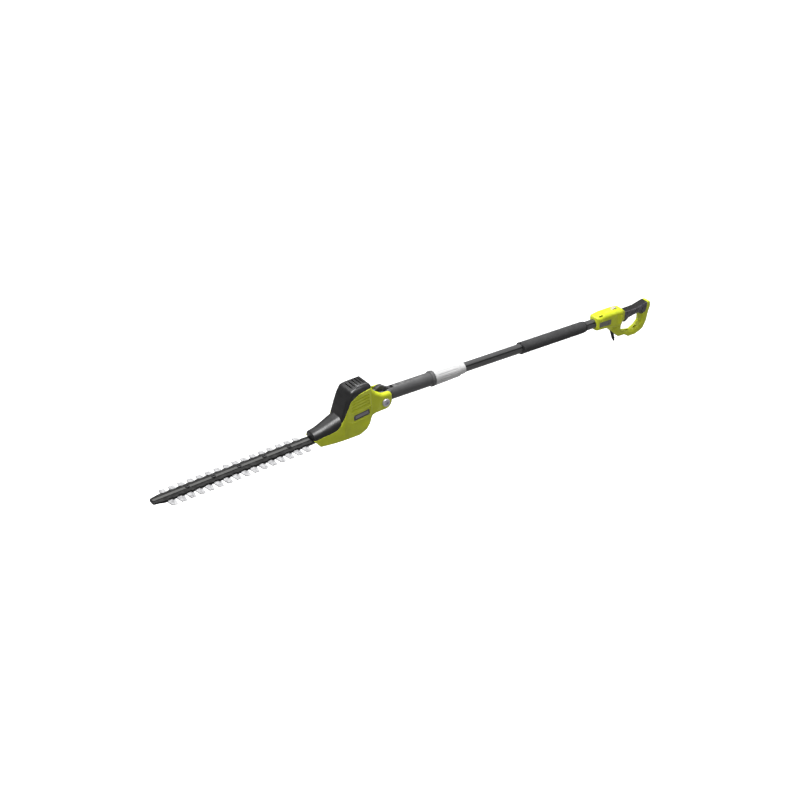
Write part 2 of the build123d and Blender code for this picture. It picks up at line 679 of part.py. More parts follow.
save_head("motor_pinion", motor_pinion())
save_head("spur_gear", spur_gear())
save_head("eccentric_cams", eccentric_cams())
save_head("gear_pin", rod_z(-63.6, -31.2, GEAR_PIN_R, GEAR_X))
save_head("gear_carrier", gear_carrier())
save_head("gearbox_base_plate", gearbox_base_plate())
save_head("gearbox_screws", gearbox_screws())
save_head("bottom_plate", bottom_plate())

# ---- cutter bar and blades -------------------------------------------------------------------
# near half of the blade outline, tip to yoke: x, y, corner radius
BLADE_HALF = [
    (-716, -10, 5), (-704, -16.8, 5), (-236, -16.8, 4), (-228, -15.6, 3), (-160, -15.6, 6),
    (-153, -24.6, 6), (-147.5, -24.8, 6), (GEAR_X + 33.0, -24.8, 9)]
TOOTH_ROOT_HALF, TOOTH_TIP_HALF, TOOTH_ROOT_Y = 9.5, 4.2, 15.0
BEVEL = 1.5                      # how much narrower a tooth is away from the cutting face
BOLT_CLEAR = 2.7                 # blade bolt holes in the bar
BOLT_R = 2.5
WASHER_H, FIELD_NUT_H, ROOT_NUT_H = 1.2, 3.6, 4.2
NUT_TOP = LOWER_Z0 - 0.3         # upper face of the root nuts and of the washers


def blade_support_bar():
    half_outline = [(BAR_TIP, -13, 7), (BAR_TIP + 24, -BAR_HALF, 8)]
    crest, hollow = -BAR_HALF - 1.8, -BAR_HALF + 1.0
    for k in range(TOOTH_COUNT):                       # shallow scallops along the edge
        x = TOOTH_X0 + TOOTH_PITCH * k
        half_outline += [(x - 9, crest, 3), (x - 5, hollow, 3), (x + 5, hollow, 3),
                         (x + 9, crest, 3)]
    half_outline += [(-240, -BAR_HALF), (-162, -BAR_HALF, 4)]
    bar = slab(mirrored(half_outline), BAR_Z0, BAR_Z1, "xy")
    ridge = slab(mirrored([(BAR_TIP + 2.5, -RIDGE_HALF, 5), (-242, -RIDGE_HALF)]),
                 BAR_Z1 - 0.1, BAR_Z1 + RIDGE_H, "xy")
    # guards the bevel against the rounded ridge tip; the ridge stays square if it fails
    try:
        top_edges = ridge.faces().sort_by(Axis.Z)[-1].edges().filter_by(Axis.X)
        ridge = Part() + chamfer(top_edges, 1.4)
    except Exception:
        pass
    bar = bar + ridge
    for x in BOLT_X:
        bar -= rod_z(BAR_Z1 + 1.2, BAR_Z1 + 10, 6.9, x)
        bar -= rod_z(-60, -40, BOLT_CLEAR, x)
    for x in ROOT_BOLT_X:
        bar -= rod_z(-60, -40, BOLT_CLEAR, x)
    return biggest(bar)


def tooth_face(x, side, inset, z):
    root, tip = TOOTH_ROOT_HALF - inset, TOOTH_TIP_HALF - inset
    y_root, y_tip = side * TOOTH_ROOT_Y, side * (TOOTH_TIP - inset * 0.7)
    corners = [Vector(x - root, y_root, z), Vector(x + root, y_root, z),
               Vector(x + tip, y_tip, z), Vector(x - tip, y_tip, z)]
    return Face(Wire.make_polygon(corners[::side], close=True))


def blade(z0, z1, shift, cuts_below):
    """Double-sided reciprocating blade; its teeth are widest on the face that meets the other."""
    body = slab(mirrored(BLADE_HALF), z0, z1, "xy")
    low_inset, high_inset = (0, BEVEL) if cuts_below else (BEVEL, 0)
    for k in range(TOOTH_COUNT):
        x = TOOTH_X0 + TOOTH_PITCH * k + shift
        for side in SIDES:
            body += loft([tooth_face(x, side, low_inset, z0),
                          tooth_face(x, side, high_inset, z1)], ruled=True)
    reach = TRAVEL + 4.3
    for x in BOLT_X + ROOT_BOLT_X:                     # guide slots
        body -= slab(rectangle(x - reach, x + reach, -3.98, 3.98, 3.95), z0 - 1, z1 + 1, "xy")
    # yoke opening round the eccentrics
    half_x, half_y = THROW + CAM_R + TRAVEL + 0.6, THROW + CAM_R + 0.5
    opening = rectangle(GEAR_X - half_x, GEAR_X + half_x, -half_y, half_y, 12)
    body -= slab(opening, z0 - 1, z1 + 1, "xy")
    return biggest(body)


def blade_bolts():
    bolts = Part()
    for x in BOLT_X:
        bolts += Pos(x, 0, BAR_Z1 + 1.25) * pan_screw(5.6, 3.2, BOLT_R, 17.2, 4.0)
    for x in ROOT_BOLT_X:
        bolts += Pos(x, 0, -45.95) * pan_screw(4.6, 2.6, BOLT_R, 18.0, 3.0)
    return bolts


def tube_piece(radius, height, cut_height):
    """Short upright ring that slips over a blade bolt."""
    return (Cylinder(radius, height, align=FROM_BASE)
            - Cylinder(2.62, cut_height, align=FROM_BASE))


def blade_guide_sleeves():
    sleeves = Part()
    for x in BOLT_X + ROOT_BOLT_X:
        sleeves += Pos(x, 0, LOWER_Z0 - 0.25) * tube_piece(3.9, BAR_Z0 - LOWER_Z0 + 0.2, 10)
    return sleeves


def blade_nuts():
    nuts = Part()
    washer_z = NUT_TOP - WASHER_H
    for x in BOLT_X:
        nut = Pos(x, 0, washer_z - FIELD_NUT_H) * hex_nut(8.0, FIELD_NUT_H, 2.55)
        nuts += nut + Pos(x, 0, washer_z) * tube_piece(7.0, WASHER_H, 3)
    for x in ROOT_BOLT_X:
        nuts += Pos(x, 0, NUT_TOP - ROOT_NUT_H) * hex_nut(8.0, ROOT_NUT_H, 2.55)
    return nuts


save_head("blade_support_bar", blade_support_bar())
save_head("upper_blade", Pos(REST, 0, 0) * blade(UPPER_Z0, UPPER_Z1, -TOOTH_PITCH / 4, True))
save_head("lower_blade", Pos(-REST, 0, 0) * blade(LOWER_Z0, LOWER_Z1, TOOTH_PITCH / 4, False))
save_head("blade_bolts", blade_bolts())
save_head("blade_guide_sleeves", blade_guide_sleeves())
save_head("blade_nuts", blade_nuts())


# ---- pivot -----------------------------------------------------------------------------------
def pivot_bolt():
    bolt = rod_y(-41.0, -35.3, 12.0)
    bolt = soft(bolt, bolt.faces().sort_by(Axis.Y)[0].edges(), [2.0, 1.5])
    bolt -= rod_y(-42, -38.2, 6.2)
    bolt += Pos(0, -38.3, 0) * Rot(90, 0, 0) * hexagon(7.5, 1.6)
    bolt += rod_y(-35.4, 40.6, 5.0)
    return biggest(bolt)


def pivot_nut():
    bore = Pos(0, 0, -1) * Cylinder(5.06, 9, align=FROM_BASE)
    return Pos(0, 35.3, 0) * Rot(-90, 0, 0) * (hexagon(17.0, 5.0) - bore)


def locking_disc():
    """Notched disc dowelled to the far ear."""
    disc = rod_y(18.3, 22.2, 20.0) - rod_y(17, 24, 5.1)
    for k in range(13):
        angle = math.radians(15 * k - TILT)
        notch_at = Pos(20.4 * math.cos(angle), 20, 20.4 * math.sin(angle))
        disc -= notch_at * Rot(90, 0, 0) * Cylinder(2.0, 8)
    for side in SIDES:
        disc += rod_y(22.0, 24.8, 2.4, side * DOWEL_X, 0)
    return biggest(disc)


save_head("pivot_bolt", pivot_bolt())
save_head("pivot_nut", pivot_nut())
save_head("locking_disc", locking_disc())

# ---- front tube, knuckle and twist lock ------------------------------------------------------
# plan-like prism behind the pivot disc, and the release lever, both x, z, corner radius
TONGUE = [(0, -22, 2), (40, -17.5, 4), (62, -17.5, 3), (62, 17.5, 3), (40, 17.5, 4), (0, 16.0, 2)]
LEVER = [
    (-15, 27.0, 2), (-12, 33.0, 5), (-5, 36.6, 7), (6, 36.8, 9), (17, 29.5, 12), (28, 22.6, 10),
    (40, 18.6, 2), (41, 15.4, 1.5), (29.0, 15.8, 2), (28.4, 11.9, 1.5), (22.0, 12.8, 1.5),
    (14, 19.8, 3), (2, 23.6, 6), (-10, 20.6, 2)]
LEVER_GROOVES = [(37.4, -14), (37.6, 0), (37.3, 8), (35.9, 26)]   # Z, slope in degrees


def knuckle_tongue():
    tongue = rod_y(TONGUE_NEAR, TONGUE_FAR, TONGUE_R, 0, PIVOT_Z)
    tongue += slab(TONGUE, TONGUE_NEAR, TONGUE_FAR)
    tongue = tongue & (rod_x(30, 62, SOCKET_R - 0.1) + box(-30, 30.01, -30, 30, -40, 40))
    tongue += rod_x(22.0, TUBE_X0 - 0.1, TUBE_R - 0.2) & box(20, 34, -21, TONGUE_FAR, -30, 30)
    tongue -= rod_y(-40, 40, 5.08, 0, PIVOT_Z)
    tongue -= box(-26, 46, -7.2, 7.2, 11.0, 40)        # pocket for the release lever
    tongue -= rod_y(-30, 30, 1.6, *LEVER_PIN)
    tongue = biggest(tongue)
    for z in TONGUE_SCREW_ZS:
        tongue -= rod_y(-30, 30, 2.05, TONGUE_SCREW_X, z)
    return tongue


def front_tube():
    tube = rod_x(TUBE_X0, TUBE_X1, TUBE_R) + cone_x(TUBE_X1, TUBE_X1 + 3, TUBE_R, FLANGE_R)
    tube = tube + rod_x(TUBE_X1 + 3, FLANGE_X1, FLANGE_R)
    tube = soft(tube, rims(tube, FLANGE_X1, over=20), [1.5, 1.0])
    tube = soft(tube, rims(tube, TUBE_X0, over=18), [2.5, 1.5])
    tube += rod_x(FLANGE_X1 - 0.1, STUB_X1, STUB_R)
    tube -= rod_x(30, 62.4, SOCKET_R)
    tube -= rod_x(62, 260, TUBE_BORE)
    for x in range(207, 233, 5):                       # rings of grooves round the stub
        tube -= rod_x(x, x + 2.0, 20) - rod_x(x - 1, x + 3, STUB_R - 0.7)
    half_key = GROOVE_W / 2 - 0.35
    for angle in GROOVE_ANGLES:                        # keys that run in the pole grooves
        tube += Rot(angle - 90, 0, 0) * box(206, 238, -half_key, half_key,
                                            POLE_R - GROOVE_D + 0.3, TUBE_BORE + 0.6)
    for z in TONGUE_SCREW_ZS:
        tube -= rod_y(-17.9, 30, 2.05, TONGUE_SCREW_X, z)
    low_z, high_z = TONGUE_SCREW_ZS
    tube -= (rod_y(19.0, 30, 3.6, TONGUE_SCREW_X, low_z)
             + rod_y(19.0, 30, 3.6, TONGUE_SCREW_X, high_z))
    tube -= box(20, 46, -7.6, 7.6, 12.0, 30)           # slot above the lever's rear end
    return biggest(tube)


def tongue_screws():
    screws = Part()
    for z in TONGUE_SCREW_ZS:
        screws += side_screw(TONGUE_SCREW_X, 19.05, z, 3.3, 1.9, 2.0, 33, SCREW_AF)
    return screws


def release_lever():
    lever = slab(LEVER, -6.6, 6.6)
    lever -= rod_y(-10, 10, 1.62, *LEVER_PIN)
    for k, (z, slope) in enumerate(LEVER_GROOVES):
        lever -= Pos(-4.5 + 4.2 * k, 0, z) * Rot(0, slope, 0) * Box(1.3, 20, 1.6)
    return biggest(lever)


def clamp_collet():
    """Slotted ring, straight then tapering towards the rear."""
    collet = rod_x(243, 288, 17.0) - rod_x(240, 290, 15.25)
    collet = collet & (rod_x(240, 262, 17.0) + cone_x(262, 288.01, 17.0, 15.75))
    for k in range(6):
        collet -= Rot(60 * k, 0, 0) * box(250, 290, -0.9, 0.9, 14, 18)
    return biggest(collet)


def twist_collar():
    shoulder_x, shoulder_r = COLLAR_STEP_X + 5, COLLAR_R1 + 0.9
    collar = (cone_x(COLLAR_X0, COLLAR_STEP_X, COLLAR_R0, COLLAR_STEP_R)
              + cone_x(COLLAR_STEP_X, shoulder_x, COLLAR_STEP_R, shoulder_r)
              + cone_x(shoulder_x, COLLAR_X1, shoulder_r, COLLAR_R1))
    collar = soft(collar, rims(collar, COLLAR_X0, COLLAR_X1, COLLAR_STEP_X), [1.4, 1.0, 0.6])
    flutes = 14
    for k in range(flutes):                            # shallow grip flutes
        flute = rod((203, 0, COLLAR_R0 + 1.4), (274, 0, COLLAR_STEP_R + 2.1), 2.6)
        collar -= Rot(360 / flutes * k, 0, 0) * flute
    collar -= rod_x(185, 241.5, STUB_R + 0.08)
    collar -= rod_x(241, 265, 17.6)
    collar -= cone_x(265, 290, 17.6, 16.2)
    collar -= rod_x(280, 310, POLE_R + 0.09)
    return biggest(collar)


save("knuckle_tongue", knuckle_tongue())
save("front_tube", front_tube())
save("tongue_screws", tongue_screws())
save("release_lever", release_lever())
save("release_lever_pin", rod_y(-14.0, 14.0, 1.55, *LEVER_PIN))
save("release_lever_spring", upright_spring(6.0, 11.1, 18.6, radius=3.0, wire=0.8, turns=4))
save("clamp_collet", clamp_collet())
save("twist_collar", twist_collar())


# ---- inner pole and grip ---------------------------------------------------------------------
def inner_pole():
    pole = rod_x(POLE_X0, POLE_X1, POLE_R) - rod_x(POLE_X0 - 1, POLE_X1 + 1, POLE_IN)
    for angle in GROOVE_ANGLES:
        pole -= Rot(angle - 90, 0, 0) * box(POLE_X0 - 1, POLE_X1 + 1, -GROOVE_W / 2,
                                            GROOVE_W / 2, POLE_R - GROOVE_D, POLE_R + 1)
    return pole


def pole_end_plug():
    plug = rod_x(POLE_X0 - 3.5, POLE_X0 - 0.05, 13.3) + rod_x(POLE_X0 - 0.2, POLE_X0 + 16, 11.9)
    return biggest(plug - rod_x(180, 215, 5.6))


def soft_rod(x0, x1, radius, radii):
    """Rod along the pole with both rims rounded."""
    body = rod_x(x0, x1, radius)
    return soft(body, body.edges().filter_by(GeomType.CIRCLE), radii)


pole_space = rod_x(500, 800, POLE_R + 0.02)
front_ring = soft_rod(GRIP_X0 - 5.2, GRIP_X0 - 0.2, 19.6, [1.2, 0.8])
rear_ring = soft_rod(GRIP_X1 + 0.2, GRIP_X1 + 4.2, 17.4, [1.2, 0.8])
save("inner_pole", inner_pole())
save("pole_end_plug", pole_end_plug())
save("coiled_motor_cable",
     Part() + coil((300, 0, 0), (1, 0, 0), length=400, radius=7.0, wire=5.0, turns=34))
save("foam_grip", soft_rod(GRIP_X0, GRIP_X1, GRIP_R, [5.0, 3.0]) - pole_space)
save("grip_end_rings", front_ring + rear_ring - pole_space)

# ---- rear handle -----------------------------------------------------------------------------
# Side outlines are (x, z) or (x, z, corner radius).
HOUSING = [
    (HANDLE_X0, -20.8, 5), (864, -22.6, 30), (884, -26.5, 14), (900, -30.5, 8), (934, -30, 6),
    (941, 10, 12), (936, 28.5, 7), (905, 30.5, 20), (856, 30.0, 20), (HANDLE_X0, 25.5, 6)]
HOUSING_INNER = [
    (HANDLE_X0 + 3, -17.8, 3), (864, -19.6, 26), (884, -23.3, 12), (900, -27.0, 6),
    (930, -26.6, 4), (935, 8, 8), (931, 25.4, 5), (905, 27.4, 18), (856, 26.8, 18),
    (HANDLE_X0 + 3, 22.3, 3)]
LOOP_OUTER = [
    (888, 8, 10), (900, 22, 12), (938, 22, 12), (952, 13.5, 14), (1000, 14.5, 60),
    (1036, 23.5, 24), (1058, 24.5, 10), (1061, 6, 10), (1054, -16, 30), (1048, -46, 16),
    (1034, -72, 18), (1003, -84.0, 14), (973, -84.0, 8), (955, -72.5, 10), (928, -71.5, 7),
    (897, -43, 12), (888, -20, 10)]
LOOP_INNER = [
    (937, -19, 6), (960, -16, 20), (990, -10.0, 30), (1010, -7.5, 12), (1024, -14, 10),
    (1026, -44, 14), (1012, -58, 14), (990, -68.5, 14), (956, -61, 10), (936, -58, 8)]
RUBBER_ZONE = [
    (946, 60), (946, -40), (1012, -40), (1026, -14, 8), (1039, -9, 5), (1043, 8, 8), (1047, 60)]
# the grip core is necked where the rubber sits
GRIP_CORE = [
    (900, 14), (948, 11.3, 8), (1000, 12.3, 60), (1036, 21.2, 24), (1055.6, 22.2, 9),
    (1058.4, 6, 9), (1051.5, -16, 20), (1046, -30), (1028, -30), (1026, -12.0, 8),
    (1010, -5.2, 12), (990, -7.7, 30), (960, -13.7, 20), (936, -16.7, 6), (900, -16)]
GRIP_CHANNEL = [
    (925, 8, 4), (950, 8, 4), (1000, 9.6, 40), (1034, 16, 14), (1046, 14, 5), (1041, 1, 6),
    (1024, -3.5, 6), (1010, -2.6, 8), (990, -5.0, 20), (960, -10.8, 10), (939, -13.2, 4),
    (925, -13, 4)]
FRONT_LEG_CHANNEL = [(896, -20, 3), (933, -20, 3), (932, -60, 4), (927, -67, 3), (903, -42, 5)]
PLATE_SEAT = [(831, -7.6, 3), (879.6, -9.0, 3), (880.4, 9.4, 3), (831.6, 10.2, 3)]
TRIGGER = [
    (942.6, -1.5, 2), (948.6, -0.2, 2), (962, -6.6, 4), (977, -8.0, 2), (978, -14, 3),
    (971.5, -23.5, 4), (960, -30.5, 5), (949.5, -28, 5), (944.2, -18, 6)]
BUTTON = [
    (BUTTON_X0, 24.9), (BUTTON_X1, 24.9), (BUTTON_X1, 28.6, 2), (BUTTON_X1 - 2, 34.4, 2.5),
    (BUTTON_X0 + 3, 33.2, 3), (BUTTON_X0, 29)]
# oval pockets in the inner face of the loop: x, y, z, slope in degrees, length
POCKETS = [(975.5, 0.0, -65.3, -12.4, 17.0), (1006.5, -3.5, -60.8, 25.5, 12.0)]
# X, Z and the half width of the handle there
HANDLE_BOSSES = [(884, 19.0, HANDLE_HALF), (925, -14.0, HANDLE_HALF),
                 (918, -50.0, LOOP_HALF), (1036, -58.0, LOOP_HALF)]

housing = pillow(HOUSING, HANDLE_HALF, [13, 12, 11, 10, 8, 6])
loop = (slab(LOOP_OUTER, -LOOP_HALF, LOOP_HALF)
        - slab(LOOP_INNER, -LOOP_HALF - 1, LOOP_HALF + 1))
loop = soft_sides(loop, LOOP_HALF, [6.5, 6.0, 5.5, 5, 4, 3, 2])
handle = housing + loop
rubber_zone = slab(RUBBER_ZONE, -40, 40)
grip_core = pillow(GRIP_CORE, LOOP_HALF - RUBBER_T, [4.5, 4, 3])


def handle_body():
    """Both handle shells in one piece, hollow and ready to be split."""
    bare = handle - rubber_zone
    pole_bore = rod_x(800, POLE_X1 + 0.3, POLE_R + 0.05)
    trigger_opening = box(941.5, 979.5, -5.6, 5.6, -40, -5)
    body = bare + (grip_core & rubber_zone)
    body = body & (handle + grip_core)
    body -= pillow(HOUSING_INNER, HANDLE_HALF - 3, [10, 9, 8, 6])
    body -= slab(GRIP_CHANNEL, -9.2, 9.2)
    body -= slab(FRONT_LEG_CHANNEL, -10.5, 10.5)
    # collars that clamp the pole
    body += ((rod_x(HANDLE_X0 + 0.1, HANDLE_X0 + 12, 22.0) & handle)
             + (rod_x(862, 874, 23.0) & handle))
    body -= pole_bore
    body -= rod_x(POLE_X1 - 1, 905, 12.0)
    for x, y, z, slope, length in POCKETS:
        pocket = extrude(SlotOverall(length, 8.6), amount=4.6, both=True)
        body -= Pos(x, y, z) * Rot(0, -slope, 0) * pocket
    # strap slot through the near shoulder
    strap_slot = extrude(SlotOverall(16.5, 5.0), amount=7.0, both=True)
    body -= Pos(841.5, -16.0, 28.4) * Rot(30, 0, 0) * strap_slot
    body -= slab(PLATE_SEAT, -HANDLE_HALF - 1, -HANDLE_HALF + 1.2)
    # openings for the button, trigger and strain relief
    body -= box(BUTTON_X0 - 0.3, BUTTON_X1 + 0.3, -5.3, 5.3, 20, 40)
    body -= trigger_opening
    body -= rod((896.5, 0, -22.5), (920, 0, -84), 5.35)
    body -= rod_y(-12.6, 12.6, 1.6, *TRIGGER_PIN)
    for x, z, _ in HANDLE_BOSSES:
        body += (rod_y(-30, 0, 3.8, x, z) & bare) + (rod_y(0, 30, 3.8, x, z) & bare)
    for x, z, half in HANDLE_BOSSES:
        body -= rod_y(-10, 60, 1.6, x, z)
        body -= rod_y(half - SCREW_SINK, 60, 3.5, x, z)
    # clear the bosses out of the pole bore and the trigger opening
    body -= pole_bore
    body -= trigger_opening
    return body


def handle_rubber_grip():
    rubber = biggest((loop & rubber_zone) - grip_core)
    trigger_space = box(941.0, 980.0, -6.0, 6.0, -40, -5)
    return biggest(rubber - trigger_space - box(944, 946.15, -40, 40, -60, 60))


def handle_inset_plate():
    """Plate on the near side, 0.3 smaller all round than its seat."""
    points = [(x + (0.3 if x < 850 else -0.3), z + (0.3 if z < 0 else -0.3), 2.8)
              for x, z, _ in PLATE_SEAT]
    plate = slab(points, -HANDLE_HALF - 0.4, -HANDLE_HALF + 1.1)
    return soft(plate, side_edges(plate, -HANDLE_HALF - 0.4), [0.3])


def handle_screws():
    screws = Part()
    for x, z, half in HANDLE_BOSSES:
        screws += side_screw(x, half - SCREW_SINK, z, 3.2, 2.2, 1.45, half + 3, SCREW_AF)
    return screws


def trigger():
    """Trigger hinged at its front top corner inside the grip."""
    body = slab(TRIGGER, -5.0, 5.0)
    low_edges = [e for e in side_edges(body, -5.0, 5.0) if e.center().Z < -18]
    body = soft(body, low_edges, [2.0, 1.5, 1.0])
    return body - rod_y(-10, 10, 1.62, *TRIGGER_PIN)


def micro_switch():
    switch = box(984, 1006, -5.2, 5.2, -1.8, 8.4)
    switch = switch - rod_y(-6, 6, 1.2, 988, 5.8) - rod_y(-6, 6, 1.2, 1002, 0.8)
    # two tabs at the rear and a plunger at the front
    return (switch + box(1006, 1010, -3.4, -2.6, -0.6, 1.8) + box(1006, 1010, -3.4, -2.6, 3, 6)
            + box(979.6, 984.02, -3, 3, 1.0, 3.0))


def lock_off_button():
    button = slab(BUTTON, -5.0, 5.0)
    button += box(BUTTON_X0 - 3, BUTTON_X1 + 3, -6.6, 6.6, 22.9, 24.9)
    for k in range(3):
        button -= Pos(BUTTON_X0 + 8 + 4 * k, 0, 34.0) * Box(1.0, 20, 1.2)
    return biggest(button)


def terminal_block():
    """Block with a raised rear part that carries the lock-off spring."""
    block = box(884, 912, -9, 9, -9.0, 7.8) + box(900, 921, -8, 8, 7.6, 16.3)
    block = block - box(886, 890, -6, 6, 2, 9) - box(894, 898, -6, 6, 2, 9)
    for side in SIDES:
        block -= rod((880, side * 4.5, -3), (915, side * 4.5, -3), 1.6)
    return biggest(block)


# line of the mains cord, down and back out of the loop's front leg
CORD_START, CORD_END = Vector(897.6, 0, -25.0), Vector(919.3, 0, -82.8)
CORD_ALONG = (CORD_END - CORD_START).normalized()
CORD_R = 3.25


def strain_relief():
    sleeve = cone(CORD_START, CORD_END - CORD_ALONG * 3.0, 5.2, 5.0)
    for k in range(5):                                 # flexing grooves near the lower end
        start = CORD_START + CORD_ALONG * (40 + 4.0 * k)
        sleeve -= (rod(start, start + CORD_ALONG * 1.5, 7)
                   - rod(start - CORD_ALONG, start + CORD_ALONG * 3, 4.3))
    sleeve -= rod(CORD_START - CORD_ALONG, CORD_END + CORD_ALONG, CORD_R + 0.1)
    return biggest(sleeve)


shells = handle_body()
save("handle_shell_near", biggest(shells & box(800, 1100, -60, -SHELL_GAP, -120, 80)))
save("handle_shell_far", biggest(shells & box(800, 1100, SHELL_GAP, 60, -120, 80)))
save("handle_rubber_grip", handle_rubber_grip())
save("handle_inset_plate", handle_inset_plate())
save("handle_screws", handle_screws())
save("trigger", trigger())
save("trigger_pin", rod_y(-12.4, 12.4, 1.55, *TRIGGER_PIN))
save("trigger_spring", upright_spring(968.0, -6.9, 8.2, radius=2.6, wire=0.7, turns=6))
save("micro_switch", micro_switch())
save("lock_off_button", lock_off_button())
save("lock_off_spring", upright_spring(909, 16.4, 22.8, radius=2.6, wire=0.7, turns=4))
save("terminal_block", terminal_block())
save("strain_relief", strain_relief())
save("mains_cord", rod(CORD_START - CORD_ALONG * 4, CORD_END - CORD_ALONG * 0.3, CORD_R))
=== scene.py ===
"""Corded pole tool with a blade head.

The origin is the foot under the handle and +Z is up. The pole runs along X: the handle is
near the origin and the slightly tilted head is at -X. Lengths are in metres.
"""
import json
import math
import random
import bpy
import bmesh
from mathutils import Matrix, Vector, noise


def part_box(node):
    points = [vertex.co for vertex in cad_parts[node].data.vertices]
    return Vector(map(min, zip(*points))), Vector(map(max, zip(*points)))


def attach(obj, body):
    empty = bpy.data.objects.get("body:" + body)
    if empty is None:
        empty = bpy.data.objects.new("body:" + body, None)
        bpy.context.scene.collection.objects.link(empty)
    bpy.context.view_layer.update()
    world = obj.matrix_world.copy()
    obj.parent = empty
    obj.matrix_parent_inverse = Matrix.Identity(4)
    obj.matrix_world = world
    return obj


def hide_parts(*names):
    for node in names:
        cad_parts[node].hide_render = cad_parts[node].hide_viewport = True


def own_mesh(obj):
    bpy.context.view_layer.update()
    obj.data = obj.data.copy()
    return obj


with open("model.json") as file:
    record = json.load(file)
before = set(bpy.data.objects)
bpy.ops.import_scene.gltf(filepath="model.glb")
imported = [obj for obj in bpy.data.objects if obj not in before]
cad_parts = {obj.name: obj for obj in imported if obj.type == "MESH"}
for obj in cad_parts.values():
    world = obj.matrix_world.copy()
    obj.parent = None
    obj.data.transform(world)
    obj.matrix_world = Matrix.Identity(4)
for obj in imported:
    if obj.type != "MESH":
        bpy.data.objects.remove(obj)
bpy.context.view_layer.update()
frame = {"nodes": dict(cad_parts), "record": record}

random.seed(7)
NODES = frame["nodes"]
SLOT_OF = {s["node"]: s["material_slot"] for s in frame["record"]["subparts"]}
scene = bpy.context.scene

POLE_ORIGIN = Vector((-0.988, 0.0, 0.084))  # point on the pole's axis above the head pivot
PIVOT_DROP = 0.004                          # head pivot below the pole's axis
HEAD_TILT = math.radians(2.55)

CREASE_ANGLE = math.radians(32.0)
WELD_DISTANCE = 1e-6

FOAM_RADIUS = 0.019
FOAM_BORE = 0.01512
FOAM_SEGMENTS = 120
FOAM_STATIONS = 120      # divisions of the length between the rolled ends

CORD_RADIUS = 0.00322
CORD_EXIT = Vector((0.8976, 0, -0.025)) + POLE_ORIGIN
CORD_CUT = Vector((0.9193, 0, -0.0828)) + POLE_ORIGIN

LEAD_RADIUS = 0.0025
LEAD_COIL_RADIUS = 0.0070
LEAD_TURNS = 34
LEAD_STEPS = LEAD_TURNS * 28
LEAD_END_GAP = 0.0030

SPRING_RADIUS = 0.0026
SPRING_WIRE = 0.0007
SPRING_CLOSED = 0.06     # share of the winding that lies flat at each end

FLOOR_Z = POLE_ORIGIN.z - 0.30
BACKDROP_GLOW = 1.1      # brightness of floor and world as the camera sees them
WORLD_LIGHT = 0.27       # light the world gives to everything else


def clamp01(value):
    return min(1.0, max(0.0, value))


# ---------------------------------------------------------------------------------------
# Material building blocks
# ---------------------------------------------------------------------------------------


def srgb(*channels):
    """Linear RGBA from 0-255 sRGB channels."""
    def linear(c):
        return c / 12.92 if c <= 0.04045 else ((c + 0.055) / 1.055) ** 2.4
    return tuple(linear(c / 255.0) for c in channels) + (1.0,)


def shade(color, factor, lift=0.0):
    return tuple(min(1, c * factor + lift) for c in color[:3]) + (1,)


